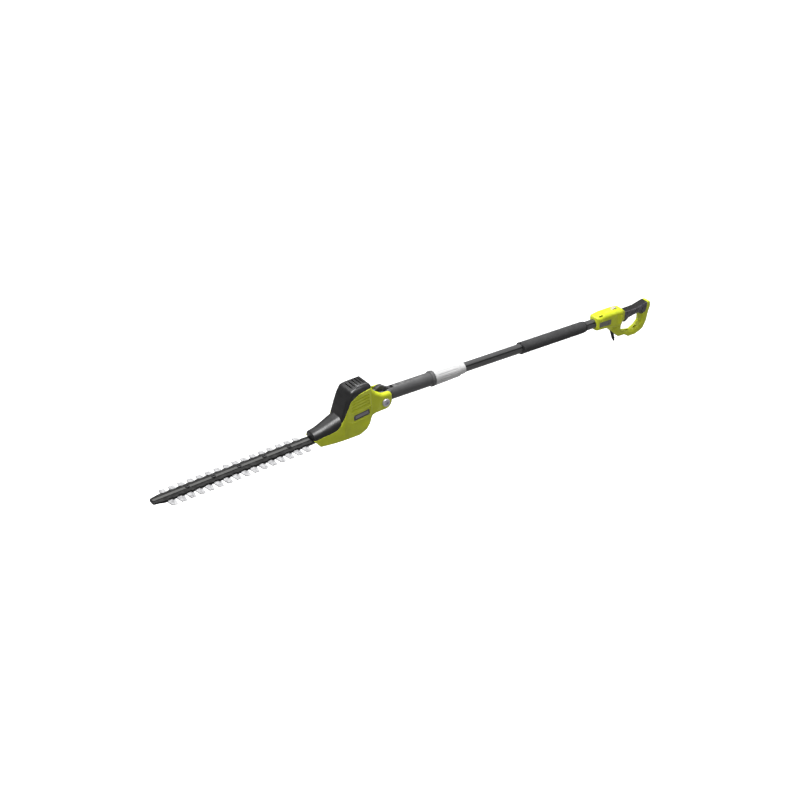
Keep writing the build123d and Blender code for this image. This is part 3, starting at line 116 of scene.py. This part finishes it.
class Mat:
    """A Principled material built up from small procedural layers in object space."""

    def __init__(self, name):
        self.material = bpy.data.materials.new(name)
        self.material.use_nodes = True
        self.tree = self.material.node_tree
        self.tree.nodes.clear()
        output = self.add("ShaderNodeOutputMaterial")
        self.shader = self.add("ShaderNodeBsdfPrincipled")
        self.put(self.shader.outputs[0], output.inputs[0])
        self.coords = self.add("ShaderNodeTexCoord").outputs["Object"]

    def add(self, kind, **settings):
        node = self.tree.nodes.new(kind)
        for key, value in settings.items():
            setattr(node, key, value)
        return node

    def put(self, value, socket):
        """Sets a socket to a constant, or links an output to it."""
        if isinstance(value, (int, float, tuple)):
            socket.default_value = value
        else:
            self.tree.links.new(value, socket)

    def noise(self, scale, detail=3.0, rough=0.55, distortion=0.0, stretch=None):
        """Noise; stretch is the scale along each axis where it is directional."""
        coords = self.coords
        if stretch:
            mapping = self.add("ShaderNodeMapping")
            mapping.inputs["Scale"].default_value = stretch
            self.put(self.coords, mapping.inputs["Vector"])
            coords = mapping.outputs[0]
        node = self.add("ShaderNodeTexNoise")
        node.inputs["Scale"].default_value = scale
        node.inputs["Detail"].default_value = detail
        node.inputs["Roughness"].default_value = rough
        node.inputs["Distortion"].default_value = distortion
        self.put(coords, node.inputs["Vector"])
        return node.outputs["Fac"]

    def voronoi(self, scale):
        node = self.add("ShaderNodeTexVoronoi")
        node.inputs["Scale"].default_value = scale
        self.put(self.coords, node.inputs["Vector"])
        return node.outputs["Distance"]

    def ramp(self, value, start, end, low=0.0, high=1.0, interpolation="LINEAR"):
        """Maps start..end to low..high."""
        node = self.add("ShaderNodeMapRange", interpolation_type=interpolation)
        node.inputs["From Min"].default_value = start
        node.inputs["From Max"].default_value = end
        node.inputs["To Min"].default_value = low
        node.inputs["To Max"].default_value = high
        self.put(value, node.inputs["Value"])
        return node.outputs[0]

    def step(self, value, start, end):
        return self.ramp(value, start, end, interpolation="SMOOTHSTEP")

    def math(self, operation, *values, clamp=False):
        node = self.add("ShaderNodeMath", operation=operation, use_clamp=clamp)
        for i, value in enumerate(values):
            self.put(value, node.inputs[i])
        return node.outputs[0]

    def mix(self, factor, first, second):
        node = self.add("ShaderNodeMix", data_type="RGBA")
        # 0, 6 and 7 are the factor and the two colour inputs
        for i, value in ((0, factor), (6, first), (7, second)):
            self.put(value, node.inputs[i])
        return node.outputs[2]

    def tint(self, base, mask, amount, color):
        """Lays color over base where mask is high, at most by amount."""
        return self.mix(self.math("MULTIPLY", mask, amount), base, color)

    def from_pole(self, drop=0.0):
        """Coordinates x, y, z from the pole origin, or from a point drop below it."""
        offset = self.add("ShaderNodeVectorMath", operation="SUBTRACT")
        self.put(self.coords, offset.inputs[0])
        offset.inputs[1].default_value = (POLE_ORIGIN.x, POLE_ORIGIN.y, POLE_ORIGIN.z - drop)
        split = self.add("ShaderNodeSeparateXYZ")
        self.put(offset.outputs[0], split.inputs[0])
        return split.outputs

    def worn_edges(self, start, end, noise_scale):
        """Mask of convex edges by pointiness, broken up by noise."""
        pointiness = self.add("ShaderNodeNewGeometry").outputs["Pointiness"]
        edge = self.ramp(pointiness, start, end)
        breakup = self.ramp(self.noise(noise_scale, detail=5.0, rough=0.65), 0.40, 0.62)
        return self.math("MULTIPLY", edge, breakup, clamp=True)

    def set(self, **inputs):
        for key, value in inputs.items():
            self.put(value, self.shader.inputs[key.replace("_", " ")])

    def relief(self, bumps, edge_radius=0.0):
        """Rounds hard edges, then stacks bumps of (height output, strength, distance)."""
        normal = None
        if edge_radius:
            bevel = self.add("ShaderNodeBevel", samples=6)
            bevel.inputs["Radius"].default_value = edge_radius
            normal = bevel.outputs[0]
        for height, strength, distance in bumps:
            bump = self.add("ShaderNodeBump")
            bump.inputs["Strength"].default_value = strength
            bump.inputs["Distance"].default_value = distance
            self.put(height, bump.inputs["Height"])
            if normal is not None:
                self.put(normal, bump.inputs["Normal"])
            normal = bump.outputs[0]
        self.put(normal, self.shader.inputs["Normal"])


def plastic(name, color, dark=0.82, light=1.12, rough=0.42, rough_spread=0.08, grain=0.12,
            grain_scale=1500.0, drawn=False, wear=None, wear_amount=0.5, specular=0.5,
            dust=0.05, coat=0.0, zone=None):
    """Moulded plastic with faint mottling, grain, paled edges and a little dust.

    dark and light bound the mottling, drawn swaps the grain for lines along X, and zone
    returns a mask and the colour that replaces the base there.
    """
    m = Mat(name)
    dark_color = shade(color, dark)
    mottle = m.ramp(m.noise(22.0, detail=4.0, rough=0.6), 0.3, 0.7)
    base = m.mix(mottle, dark_color, shade(color, light))
    if zone:
        mask, tone = zone(m)
        base = m.mix(mask, base, m.mix(mottle, shade(tone, dark), tone))
    speckle = m.ramp(m.noise(420.0, detail=2.0, rough=0.5), 0.35, 0.65)
    base = m.tint(base, speckle, 0.10, dark_color)
    smudge = m.ramp(m.noise(9.0, detail=5.0, rough=0.7, distortion=0.6), 0.52, 0.78)
    base = m.tint(base, smudge, dust, (0.42, 0.40, 0.36, 1))
    edges = m.worn_edges(start=0.51, end=0.56, noise_scale=60.0)
    base = m.tint(base, edges, wear_amount, wear or shade(color, 1.5, lift=0.04))
    roughness = m.ramp(m.noise(60.0, detail=4.0, rough=0.6), 0.3, 0.7,
                       low=rough - 0.75 * rough_spread, high=rough + rough_spread)
    if wear_amount:
        roughness = m.math("SUBTRACT", roughness, m.math("MULTIPLY", edges, 0.10))
    m.set(Base_Color=base, Roughness=roughness, Specular_IOR_Level=specular)
    if coat:
        m.set(Coat_Weight=coat, Coat_Roughness=0.2)
    if drawn:
        surface = m.noise(1.0, detail=3.0, rough=0.5, stretch=(2.0, 700.0, 700.0))
    else:
        surface = m.voronoi(grain_scale)
    waviness = 0.0 if drawn else 0.06
    m.relief([(surface, grain, 0.0002), (m.noise(140.0), waviness, 0.0006)],
             edge_radius=0.0007)
    return m.material


def metal(name, color, rough=0.32, brush=(6.0, 700.0, 700.0), brush_amount=0.25,
          wear=(0.8, 0.8, 0.8, 1), wear_amount=0.4, stain=0.25, metallic=1.0):
    """Worked metal; brush is the scratch frequency along each axis."""
    m = Mat(name)
    scratches = m.noise(1.0, detail=4.0, rough=0.6, stretch=brush)
    blotches = m.ramp(m.noise(35.0, detail=5.0, rough=0.65), 0.35, 0.75)
    base = m.mix(m.ramp(scratches, 0.3, 0.7), shade(color, 0.72), color)
    base = m.tint(base, blotches, stain, shade(color, 0.45))
    edges = m.worn_edges(start=0.51, end=0.57, noise_scale=120.0)
    base = m.tint(base, edges, wear_amount, wear)
    roughness = m.ramp(scratches, 0.25, 0.75, low=rough - 0.10, high=rough + 0.14)
    roughness = m.math("ADD", roughness, m.math("MULTIPLY", blotches, 0.12))
    m.set(Base_Color=base, Roughness=roughness, Metallic=metallic)
    m.relief([(scratches, brush_amount, 0.0001), (m.noise(300.0, detail=2.0), 0.05, 0.0003)],
             edge_radius=0.0004)
    return m.material


def rubber(name, color, rough, grain_scale, grain, specular, zone=None):
    """Matt rubber with grain, pores, pale dust and paled edges."""
    m = Mat(name)
    base = m.mix(m.ramp(m.noise(30.0, detail=4.0), 0.3, 0.7), shade(color, 0.7), color)
    if zone:
        mask, tone = zone(m)
        base = m.mix(mask, base, tone)
    dust = m.ramp(m.noise(250.0, rough=0.7), 0.55, 0.8)
    base = m.tint(base, dust, 0.18, (0.20, 0.20, 0.19, 1))
    edges = m.worn_edges(start=0.515, end=0.58, noise_scale=90.0)
    base = m.tint(base, edges, 0.35, shade(color, 2.2, lift=0.02))
    roughness = m.ramp(m.noise(80.0), 0.3, 0.7, low=rough - 0.08, high=rough + 0.08)
    m.set(Base_Color=base, Roughness=roughness, Specular_IOR_Level=specular,
          Sheen_Weight=0.06, Sheen_Roughness=0.5)
    pores = m.noise(grain_scale * 0.45, detail=4.0, rough=0.7)
    m.relief([(m.voronoi(grain_scale), grain, 0.0004), (pores, 0.25, 0.0005)],
             edge_radius=0.0006)
    return m.material


# Zones: each returns a mask and its colour.


def badge_plate(m):
    """The proud bar (lowest y) stays pale, the plate round it is dark."""
    y = m.from_pole(drop=PIVOT_DROP)[1]
    return m.step(y, -0.03765, -0.0374), srgb(46, 44, 38)


def ridge_wear_and_highlight(m):
    """Pale grey along the ridge top, measured level with the tilted head: partly worn-through
    coating, partly a painted highlight.
    """
    x, _, z = m.from_pole(drop=PIVOT_DROP)
    level_z = m.math("SUBTRACT", m.math("MULTIPLY", z, math.cos(HEAD_TILT)),
                     m.math("MULTIPLY", x, math.sin(HEAD_TILT)))
    return m.step(level_z, -0.0486, -0.0480), srgb(78, 78, 77)


def pole_groove_shade(m):
    """Painted shade: near black wherever the surface lies below the pole's full radius,
    inside the grooves.
    """
    _, y, z = m.from_pole()
    squares = m.math("ADD", m.math("MULTIPLY", y, y), m.math("MULTIPLY", z, z))
    land = m.step(m.math("SQRT", squares), 0.0142, 0.0147)
    return m.math("SUBTRACT", 1.0, land), srgb(12, 12, 12)


def grip_flanks(m):
    """Paler noisy patches on surfaces that face sideways, between a dark crown and underside.
    """
    split = m.add("ShaderNodeSeparateXYZ")
    m.put(m.add("ShaderNodeNewGeometry").outputs["True Normal"], split.inputs[0])
    sideways = m.step(m.math("ABSOLUTE", split.outputs[1]), 0.35, 0.75)
    flank_patches = m.ramp(m.noise(70.0, detail=4.0, rough=0.6), 0.30, 0.62)
    return m.math("MULTIPLY", sideways, flank_patches), srgb(98, 96, 101)


# ---------------------------------------------------------------------------------------
# Materials, by slot ("black_oxide" is used for one node only)
# ---------------------------------------------------------------------------------------
MATERIALS = {
    "green_shell": plastic(
        "lime_green_plastic", srgb(182, 191, 30), dark=0.88, light=1.05, grain=0.08,
        wear=srgb(216, 224, 96), wear_amount=0.3, specular=0.35, dust=0.03),
    "dark_cover": plastic(
        "black_cover_plastic", srgb(17, 17, 18), dark=0.75, light=1.15, rough=0.40,
        wear=srgb(70, 70, 72), wear_amount=0.35, dust=0.01),
    "badge": plastic(
        "badge_blank_plastic", srgb(118, 114, 122), rough=0.34, grain=0.04,
        wear=srgb(170, 168, 172), coat=0.2, zone=badge_plate),
    "tube_grey": plastic(
        "tube_grey_plastic", srgb(70, 70, 71), dark=0.85, light=1.1, rough=0.44, grain=0.2,
        grain_scale=1800.0, wear=srgb(120, 120, 120), specular=0.4, dust=0.03),
    "collar_grey": plastic(
        "collar_grey_plastic", srgb(184, 184, 184), dark=0.88, light=1.03, rough=0.45,
        grain=0.10, wear=srgb(214, 214, 214), wear_amount=0.3, dust=0.16, specular=0.3),
    "black_trim": plastic(
        "black_trim_plastic", srgb(24, 24, 25), grain=0.2, wear=srgb(80, 80, 80),
        specular=0.4, dust=0.02),
    "control_grey": plastic(
        "control_grey_plastic", srgb(172, 163, 152), rough=0.4, wear=srgb(200, 194, 186)),
    "trigger_black": plastic(
        "trigger_black_plastic", srgb(40, 39, 40), rough=0.38, grain=0.14,
        wear=srgb(110, 108, 112), dust=0.02),
    "plate_grey": plastic(
        "plate_grey_plastic", srgb(94, 94, 84), rough=0.30, grain=0.04,
        wear=srgb(160, 160, 156), coat=0.25),
    "switch_body": plastic("switch_body_plastic", srgb(70, 70, 74), rough=0.5),
    "terminal": plastic("terminal_pale_plastic", srgb(205, 203, 196), rough=0.5, dust=0.2),
    "fan_white": plastic("fan_pale_plastic", srgb(200, 200, 195), rough=0.5, dust=0.25),
    "brush_carbon": plastic("brush_carbon", srgb(38, 37, 36), rough=0.62, grain=0.3),
    # grooves get painted shade, near black
    "pole_black": plastic(
        "pole_black_anodised", srgb(64, 64, 65), dark=0.92, light=1.06, rough=0.34,
        rough_spread=0.02, grain=0.03, drawn=True, wear_amount=0.0, specular=0.6, dust=0.0,
        zone=pole_groove_shade),
    # ridge top painted pale grey: worn coating plus a painted highlight
    "bar_black": plastic(
        "bar_black_coating", srgb(10, 10, 10), rough=0.60, grain_scale=2600.0,
        wear=srgb(90, 90, 90), wear_amount=0.15, specular=0.18, dust=0.01, zone=ridge_wear_and_highlight),
    "blade_steel": metal(
        "blade_ground_steel", srgb(140, 140, 142), rough=0.46, brush=(900.0, 14.0, 40.0),
        brush_amount=0.10, wear=(0.62, 0.62, 0.62, 1), stain=0.12, metallic=0.25),
    "black_oxide": metal(
        "black_oxide_screw", srgb(44, 44, 46), rough=0.40, brush=(500.0, 500.0, 500.0),
        brush_amount=0.1, wear=srgb(150, 150, 150), wear_amount=0.5, stain=0.2,
        metallic=0.7),
    "zinc_screw": metal(
        "zinc_plated_screw", srgb(178, 178, 176), rough=0.34, brush=(500.0, 500.0, 500.0),
        brush_amount=0.1, stain=0.3),
    "pivot_grey": metal(
        "pivot_cap_satin", srgb(196, 194, 204), rough=0.40, brush=(300.0, 40.0, 300.0),
        brush_amount=0.12, stain=0.12, metallic=0.6),
    "steel": metal("machined_steel", srgb(170, 170, 170), rough=0.3),
    "lamination": metal(
        "stacked_laminations", srgb(110, 110, 114), rough=0.5, brush=(4.0, 4.0, 2400.0),
        brush_amount=0.8, stain=0.35),
    "copper": metal(
        "enamelled_copper", srgb(196, 110, 60), rough=0.34, brush=(60.0, 60.0, 1600.0),
        brush_amount=0.9, stain=0.3),
    "commutator_copper": metal(
        "commutator_copper", srgb(205, 130, 86), rough=0.26, brush=(600.0, 600.0, 20.0),
        brush_amount=0.2),
    "brass_holder": metal("stamped_brass", srgb(200, 170, 96), rough=0.3),
    "gear_steel": metal(
        "sintered_gear_steel", srgb(130, 128, 124), rough=0.46,
        brush=(900.0, 900.0, 900.0), brush_amount=0.35, stain=0.4),
    "cast_alu": metal(
        "die_cast_aluminium", srgb(176, 177, 178), rough=0.5, brush=(500.0, 500.0, 500.0),
        brush_amount=0.5, stain=0.2),
    "spring_steel": metal("spring_wire", srgb(150, 150, 150), rough=0.3),
    "foam": rubber(
        "foam_grip_rubber", srgb(58, 58, 59), rough=0.86, grain_scale=900.0, grain=0.5,
        specular=0.2),
    "soft_grip": rubber(
        "soft_grip_rubber", srgb(20, 20, 21), rough=0.62, grain_scale=1500.0, grain=0.22,
        specular=0.25, zone=grip_flanks),
    "cord": rubber(
        "cord_rubber", srgb(24, 24, 25), rough=0.55, grain_scale=1800.0, grain=0.15,
        specular=0.35),
}
# nodes whose material differs from that of their slot
NODE_MATERIALS = {
    "blade_bolts": MATERIALS["black_oxide"],
    "strain_relief": MATERIALS["cord"],
}


def dress_node(name, obj):
    """Gives a CAD node its material and shades it smooth up to a crease angle."""
    obj.data.materials.clear()
    obj.data.materials.append(NODE_MATERIALS.get(name) or MATERIALS[SLOT_OF[name]])
    for polygon in obj.data.polygons:
        polygon.material_index = 0
    obj.data.shade_smooth()
    weld = obj.modifiers.new("weld", "WELD")
    weld.merge_threshold = WELD_DISTANCE
    split = obj.modifiers.new("edges", "EDGE_SPLIT")
    split.split_angle = CREASE_ANGLE


for node_name, node_object in NODES.items():
    dress_node(node_name, node_object)

# ---------------------------------------------------------------------------------------
# Detailed pieces that stand in for CAD nodes
# ---------------------------------------------------------------------------------------


def link_new(name, data):
    obj = bpy.data.objects.new(name, data)
    scene.collection.objects.link(obj)
    return obj


def stand_in(obj, node):
    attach(obj, "handle_and_pole")
    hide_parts(node)


def mesh_object(name, verts, faces, material):
    mesh = bpy.data.meshes.new(name)
    mesh.from_pydata(verts, [], faces)
    mesh.validate()
    obj = link_new(name, mesh)
    mesh.materials.append(material)
    mesh.shade_smooth()
    return obj


def ring_faces(rings, size, closed=False):
    """Quads between successive rings of size vertices; closed joins the last to the first."""
    faces = []
    for i in range(rings if closed else rings - 1):
        here, there = i * size, (i + 1) % rings * size
        for k in range(size):
            k2 = (k + 1) % size
            faces.append((here + k, here + k2, there + k2, there + k))
    return faces


def round_cable(name, radius, bevel_resolution):
    """An empty round cable curve with capped ends."""
    curve = bpy.data.curves.new(name, "CURVE")
    curve.dimensions = "3D"
    curve.bevel_depth = radius
    curve.bevel_resolution = bevel_resolution
    curve.use_fill_caps = True
    curve.materials.append(MATERIALS["cord"])
    return curve


def foam_sleeve():
    """Foam sleeve turned about the pole's axis, faintly rippled and uneven, ends rolled."""
    low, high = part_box("foam_grip")
    start, end = low[0], high[0]
    first_roll, last_roll = 0.0042, 0.0062
    body = end - start - (first_roll + last_roll)
    # (x, radius) along the outside; the loop closes through the bore
    profile = [
        (start + 0.0010, FOAM_BORE), (start + 0.0002, FOAM_BORE + 0.0010),
        (start, FOAM_BORE + 0.0019), (start + 0.0006, FOAM_RADIUS - 0.0011),
        (start + 0.0020, FOAM_RADIUS - 0.0003), (start + first_roll, FOAM_RADIUS),
    ]
    for k in range(1, FOAM_STATIONS):
        profile.append((start + first_roll + body * k / FOAM_STATIONS,
                        FOAM_RADIUS + 0.00012 * math.sin(k * 0.31)))
    profile += [
        (end - last_roll, FOAM_RADIUS - 0.0001), (end - 0.0030, FOAM_RADIUS - 0.0009),
        (end - 0.0010, FOAM_RADIUS - 0.0021), (end, FOAM_BORE + 0.0010),
        (end - 0.0006, FOAM_BORE),
    ]
    verts = []
    for x, radius in profile:
        for k in range(FOAM_SEGMENTS):
            angle = 2 * math.pi * k / FOAM_SEGMENTS
            cos, sin = math.cos(angle), math.sin(angle)
            uneven = radius + 0.00009 * noise.noise(Vector((x * 90, cos * 2.5, sin * 2.5)))
            verts.append((x, uneven * cos, POLE_ORIGIN.z + uneven * sin))
    faces = ring_faces(len(profile), FOAM_SEGMENTS, closed=True)
    sleeve = mesh_object("foam_sleeve", verts, faces, MATERIALS["foam"])
    stand_in(sleeve, "foam_grip")


def mains_cord_stub():
    """Round cord leaving the strain relief, its cut end slightly narrowed."""
    along = (CORD_CUT - CORD_EXIT).normalized()
    # (point, radius factor)
    stations = [
        (CORD_EXIT - along * 0.0036, 1.0), (CORD_EXIT + along * 0.03, 1.0),
        (CORD_CUT, 1.0), (CORD_CUT + along * 0.0055, 1.0), (CORD_CUT + along * 0.0067, 0.86),
    ]
    curve = round_cable("mains_cord_stub", CORD_RADIUS, bevel_resolution=8)
    curve.resolution_u = 16
    spline = curve.splines.new("BEZIER")
    spline.bezier_points.add(len(stations) - 1)
    for point, (place, radius) in zip(spline.bezier_points, stations):
        point.co = place
        point.radius = radius
        point.handle_left_type = point.handle_right_type = "AUTO"
    stand_in(link_new("mains_cord_stub", curve), "mains_cord")


def coiled_lead():
    """Coiled cable inside the pole, its coils a little uneven in pitch and radius."""
    curve = round_cable("coiled_lead", LEAD_RADIUS, bevel_resolution=5)
    spline = curve.splines.new("POLY")
    low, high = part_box("coiled_motor_cable")
    length = high.x - low.x - 2 * LEAD_END_GAP
    spline.points.add(LEAD_STEPS)
    for k in range(LEAD_STEPS + 1):
        t = k / LEAD_STEPS
        angle = 2 * math.pi * LEAD_TURNS * t
        x = low.x + LEAD_END_GAP + length * t + 0.0004 * math.sin(t * 61.0)
        radius = LEAD_COIL_RADIUS + 0.00025 * math.sin(t * 37.0)
        spline.points[k].co = (x, radius * math.cos(angle),
                               POLE_ORIGIN.z + radius * math.sin(angle), 1)
    stand_in(link_new("coiled_lead", curve), "coiled_motor_cable")


def remeshed_grip():
    """The CAD rubber skin rebuilt as one soft, even mesh."""
    work = link_new("rubber_work", NODES["handle_rubber_grip"].data.copy())
    weld = work.modifiers.new("w", "WELD")
    weld.merge_threshold = WELD_DISTANCE
    remesh = work.modifiers.new("r", "REMESH")
    remesh.mode = "VOXEL"
    remesh.voxel_size = 0.0008
    remesh.adaptivity = 0.0
    smooth = work.modifiers.new("s", "SMOOTH")
    smooth.factor = 0.5
    smooth.iterations = 6
    bpy.context.view_layer.update()
    depsgraph = bpy.context.evaluated_depsgraph_get()
    mesh = bpy.data.meshes.new_from_object(work.evaluated_get(depsgraph))
    bpy.data.objects.remove(work)
    mesh.materials.clear()
    mesh.materials.append(MATERIALS["soft_grip"])
    mesh.update()
    return mesh


def rubber_overmould():
    """Rubber on the handle, with shallow slanted ribs on both flanks."""
    flank_y, crown_z = 0.0131, 0.0132       # beyond these the skin is on the outside
    rib_pitch, rib_depth = 0.0078, 0.0010
    rib_slant, slant_z = 0.55, 0.012        # shift in x per z, and the height it starts from
    band_start, band_end, band_fade = 0.955, 1.030, 0.004
    mesh = remeshed_grip()
    normals = [vert.normal.copy() for vert in mesh.vertices]
    for vert, normal in zip(mesh.vertices, normals):
        p = vert.co - POLE_ORIGIN
        on_side = abs(p.y) > flank_y
        flank = clamp01((abs(normal.y) - 0.55) / 0.35) if on_side else 0.0
        along = p.x + rib_slant * (p.z - slant_z)
        wave = 0.5 + 0.5 * math.cos(2 * math.pi * along / rib_pitch)
        band = clamp01((along - band_start) / band_fade)
        band *= clamp01((band_end - along) / band_fade)
        height = -rib_depth * flank * band * (1 - wave) ** 2
        if on_side or p.z > crown_z:
            height += 0.00010 * noise.noise(p * 190.0)
        vert.co += normal * height
    mesh.shade_smooth()
    stand_in(link_new("rubber_overmould", mesh), "handle_rubber_grip")


def spring(name, node, x, bottom, top, turns):
    """Upright wire coil at x from bottom to top, its end windings lying flat."""
    steps, sides = int(turns * 30), 10
    wire_radius = SPRING_WIRE / 2
    verts = []
    for i in range(steps + 1):
        t = i / steps
        rise = clamp01((t - SPRING_CLOSED) / (1 - 2 * SPRING_CLOSED))
        ease = 0.5 - 0.5 * math.cos(math.pi * rise)
        angle = 2 * math.pi * turns * t
        z = bottom + wire_radius + (top - bottom - SPRING_WIRE) * (0.35 * ease + 0.65 * rise)
        for j in range(sides):
            around = 2 * math.pi * j / sides
            reach = SPRING_RADIUS + wire_radius * math.cos(around)
            verts.append((x + reach * math.cos(angle), reach * math.sin(angle),
                          z + wire_radius * math.sin(around)))
    faces = ring_faces(steps + 1, sides)
    faces.append(tuple(range(sides - 1, -1, -1)))
    faces.append(tuple(steps * sides + j for j in range(sides)))
    obj = mesh_object(name, verts, faces, MATERIALS["spring_steel"])
    stand_in(obj, node)
    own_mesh(obj)


foam_sleeve()
mains_cord_stub()
coiled_lead()
rubber_overmould()
spring("trigger_return_coil", "trigger_spring", x=-0.0200, bottom=0.0771, top=0.0922,
       turns=6.5)
spring("button_return_coil", "lock_off_spring", x=-0.0790, bottom=0.1004, top=0.1068,
       turns=4.5)

# ---------------------------------------------------------------------------------------
# Stage, light, camera
# ---------------------------------------------------------------------------------------


def floor_material():
    """Grey floor that looks white to the camera."""
    m = Mat("pale_floor")
    base = m.mix(m.ramp(m.noise(0.8), 0.3, 0.7), (0.26, 0.26, 0.26, 1), (0.28, 0.28, 0.28, 1))
    camera_ray = m.add("ShaderNodeLightPath").outputs["Is Camera Ray"]
    m.set(Base_Color=base, Roughness=0.9, Specular_IOR_Level=0.1,
          Emission_Color=(1, 1, 1, 1),
          Emission_Strength=m.math("MULTIPLY", camera_ray, BACKDROP_GLOW))
    m.relief([(m.noise(60.0), 0.02, 0.001)])
    return m.material


def add_floor():
    grid = bmesh.new()
    bmesh.ops.create_grid(grid, x_segments=2, y_segments=2, size=60.0)
    mesh = bpy.data.meshes.new("floor")
    grid.to_mesh(mesh)
    grid.free()
    floor = link_new("floor", mesh)
    floor.location = (0, 0, FLOOR_Z)
    mesh.materials.append(floor_material())


def add_world():
    """White world: bright to the camera, dim as a light."""
    world = bpy.data.worlds.new("studio")
    scene.world = world
    world.use_nodes = True
    tree = world.node_tree
    color, strength = tree.nodes["Background"].inputs[:2]
    color.default_value = (1.0, 1.0, 1.0, 1)
    strength.default_value = WORLD_LIGHT
    light_path = tree.nodes.new("ShaderNodeLightPath")
    switch = tree.nodes.new("ShaderNodeMapRange")
    switch.inputs["To Min"].default_value = WORLD_LIGHT
    switch.inputs["To Max"].default_value = BACKDROP_GLOW
    tree.links.new(light_path.outputs["Is Camera Ray"], switch.inputs["Value"])
    tree.links.new(switch.outputs[0], strength)


def area_light(name, place, target, size, power):
    """Rectangular light of size (width, height) aimed at target."""
    light = bpy.data.lights.new(name, "AREA")
    light.energy = power
    light.shape = "RECTANGLE"
    light.size, light.size_y = size
    obj = link_new(name, light)
    obj.location = place
    aim = Vector(target) - Vector(place)
    obj.rotation_euler = aim.to_track_quat("-Z", "Y").to_euler()


def add_camera():
    lens = bpy.data.cameras.new("camera")
    lens.sensor_width = 36.0
    lens.lens = 61.965
    lens.clip_end = 200
    camera = link_new("camera", lens)
    turn, height = math.radians(-34.5), math.radians(30.0)
    back = Vector((math.sin(turn) * math.cos(height), -math.cos(turn) * math.cos(height),
                   math.sin(height)))
    right = Vector((math.cos(turn), math.sin(turn), 0))
    up = back.cross(right)
    place = Vector((-1.9168, -2.8968, 1.9922)) + POLE_ORIGIN
    rows = [(right[i], up[i], back[i], place[i]) for i in range(3)]
    camera.matrix_world = Matrix(rows + [(0, 0, 0, 1)])
    scene.camera = camera


add_floor()
add_world()
area_light("key_top", place=(-1.2, 0.5, 3.3), target=(-0.75, 0, 0.05), size=(2.4, 2.2),
           power=285)
area_light("fill_front", place=(-3.4, -2.6, 1.5), target=(-0.8, 0, 0.05), size=(2.0, 1.2),
           power=9)
area_light("rim_right", place=(1.9, -0.9, 1.6), target=(-0.5, 0, 0.08), size=(1.2, 1.2),
           power=12)
add_camera()
scene.view_settings.view_transform = "Standard"
scene.view_settings.look = "None"
scene.view_settings.exposure = 0.0
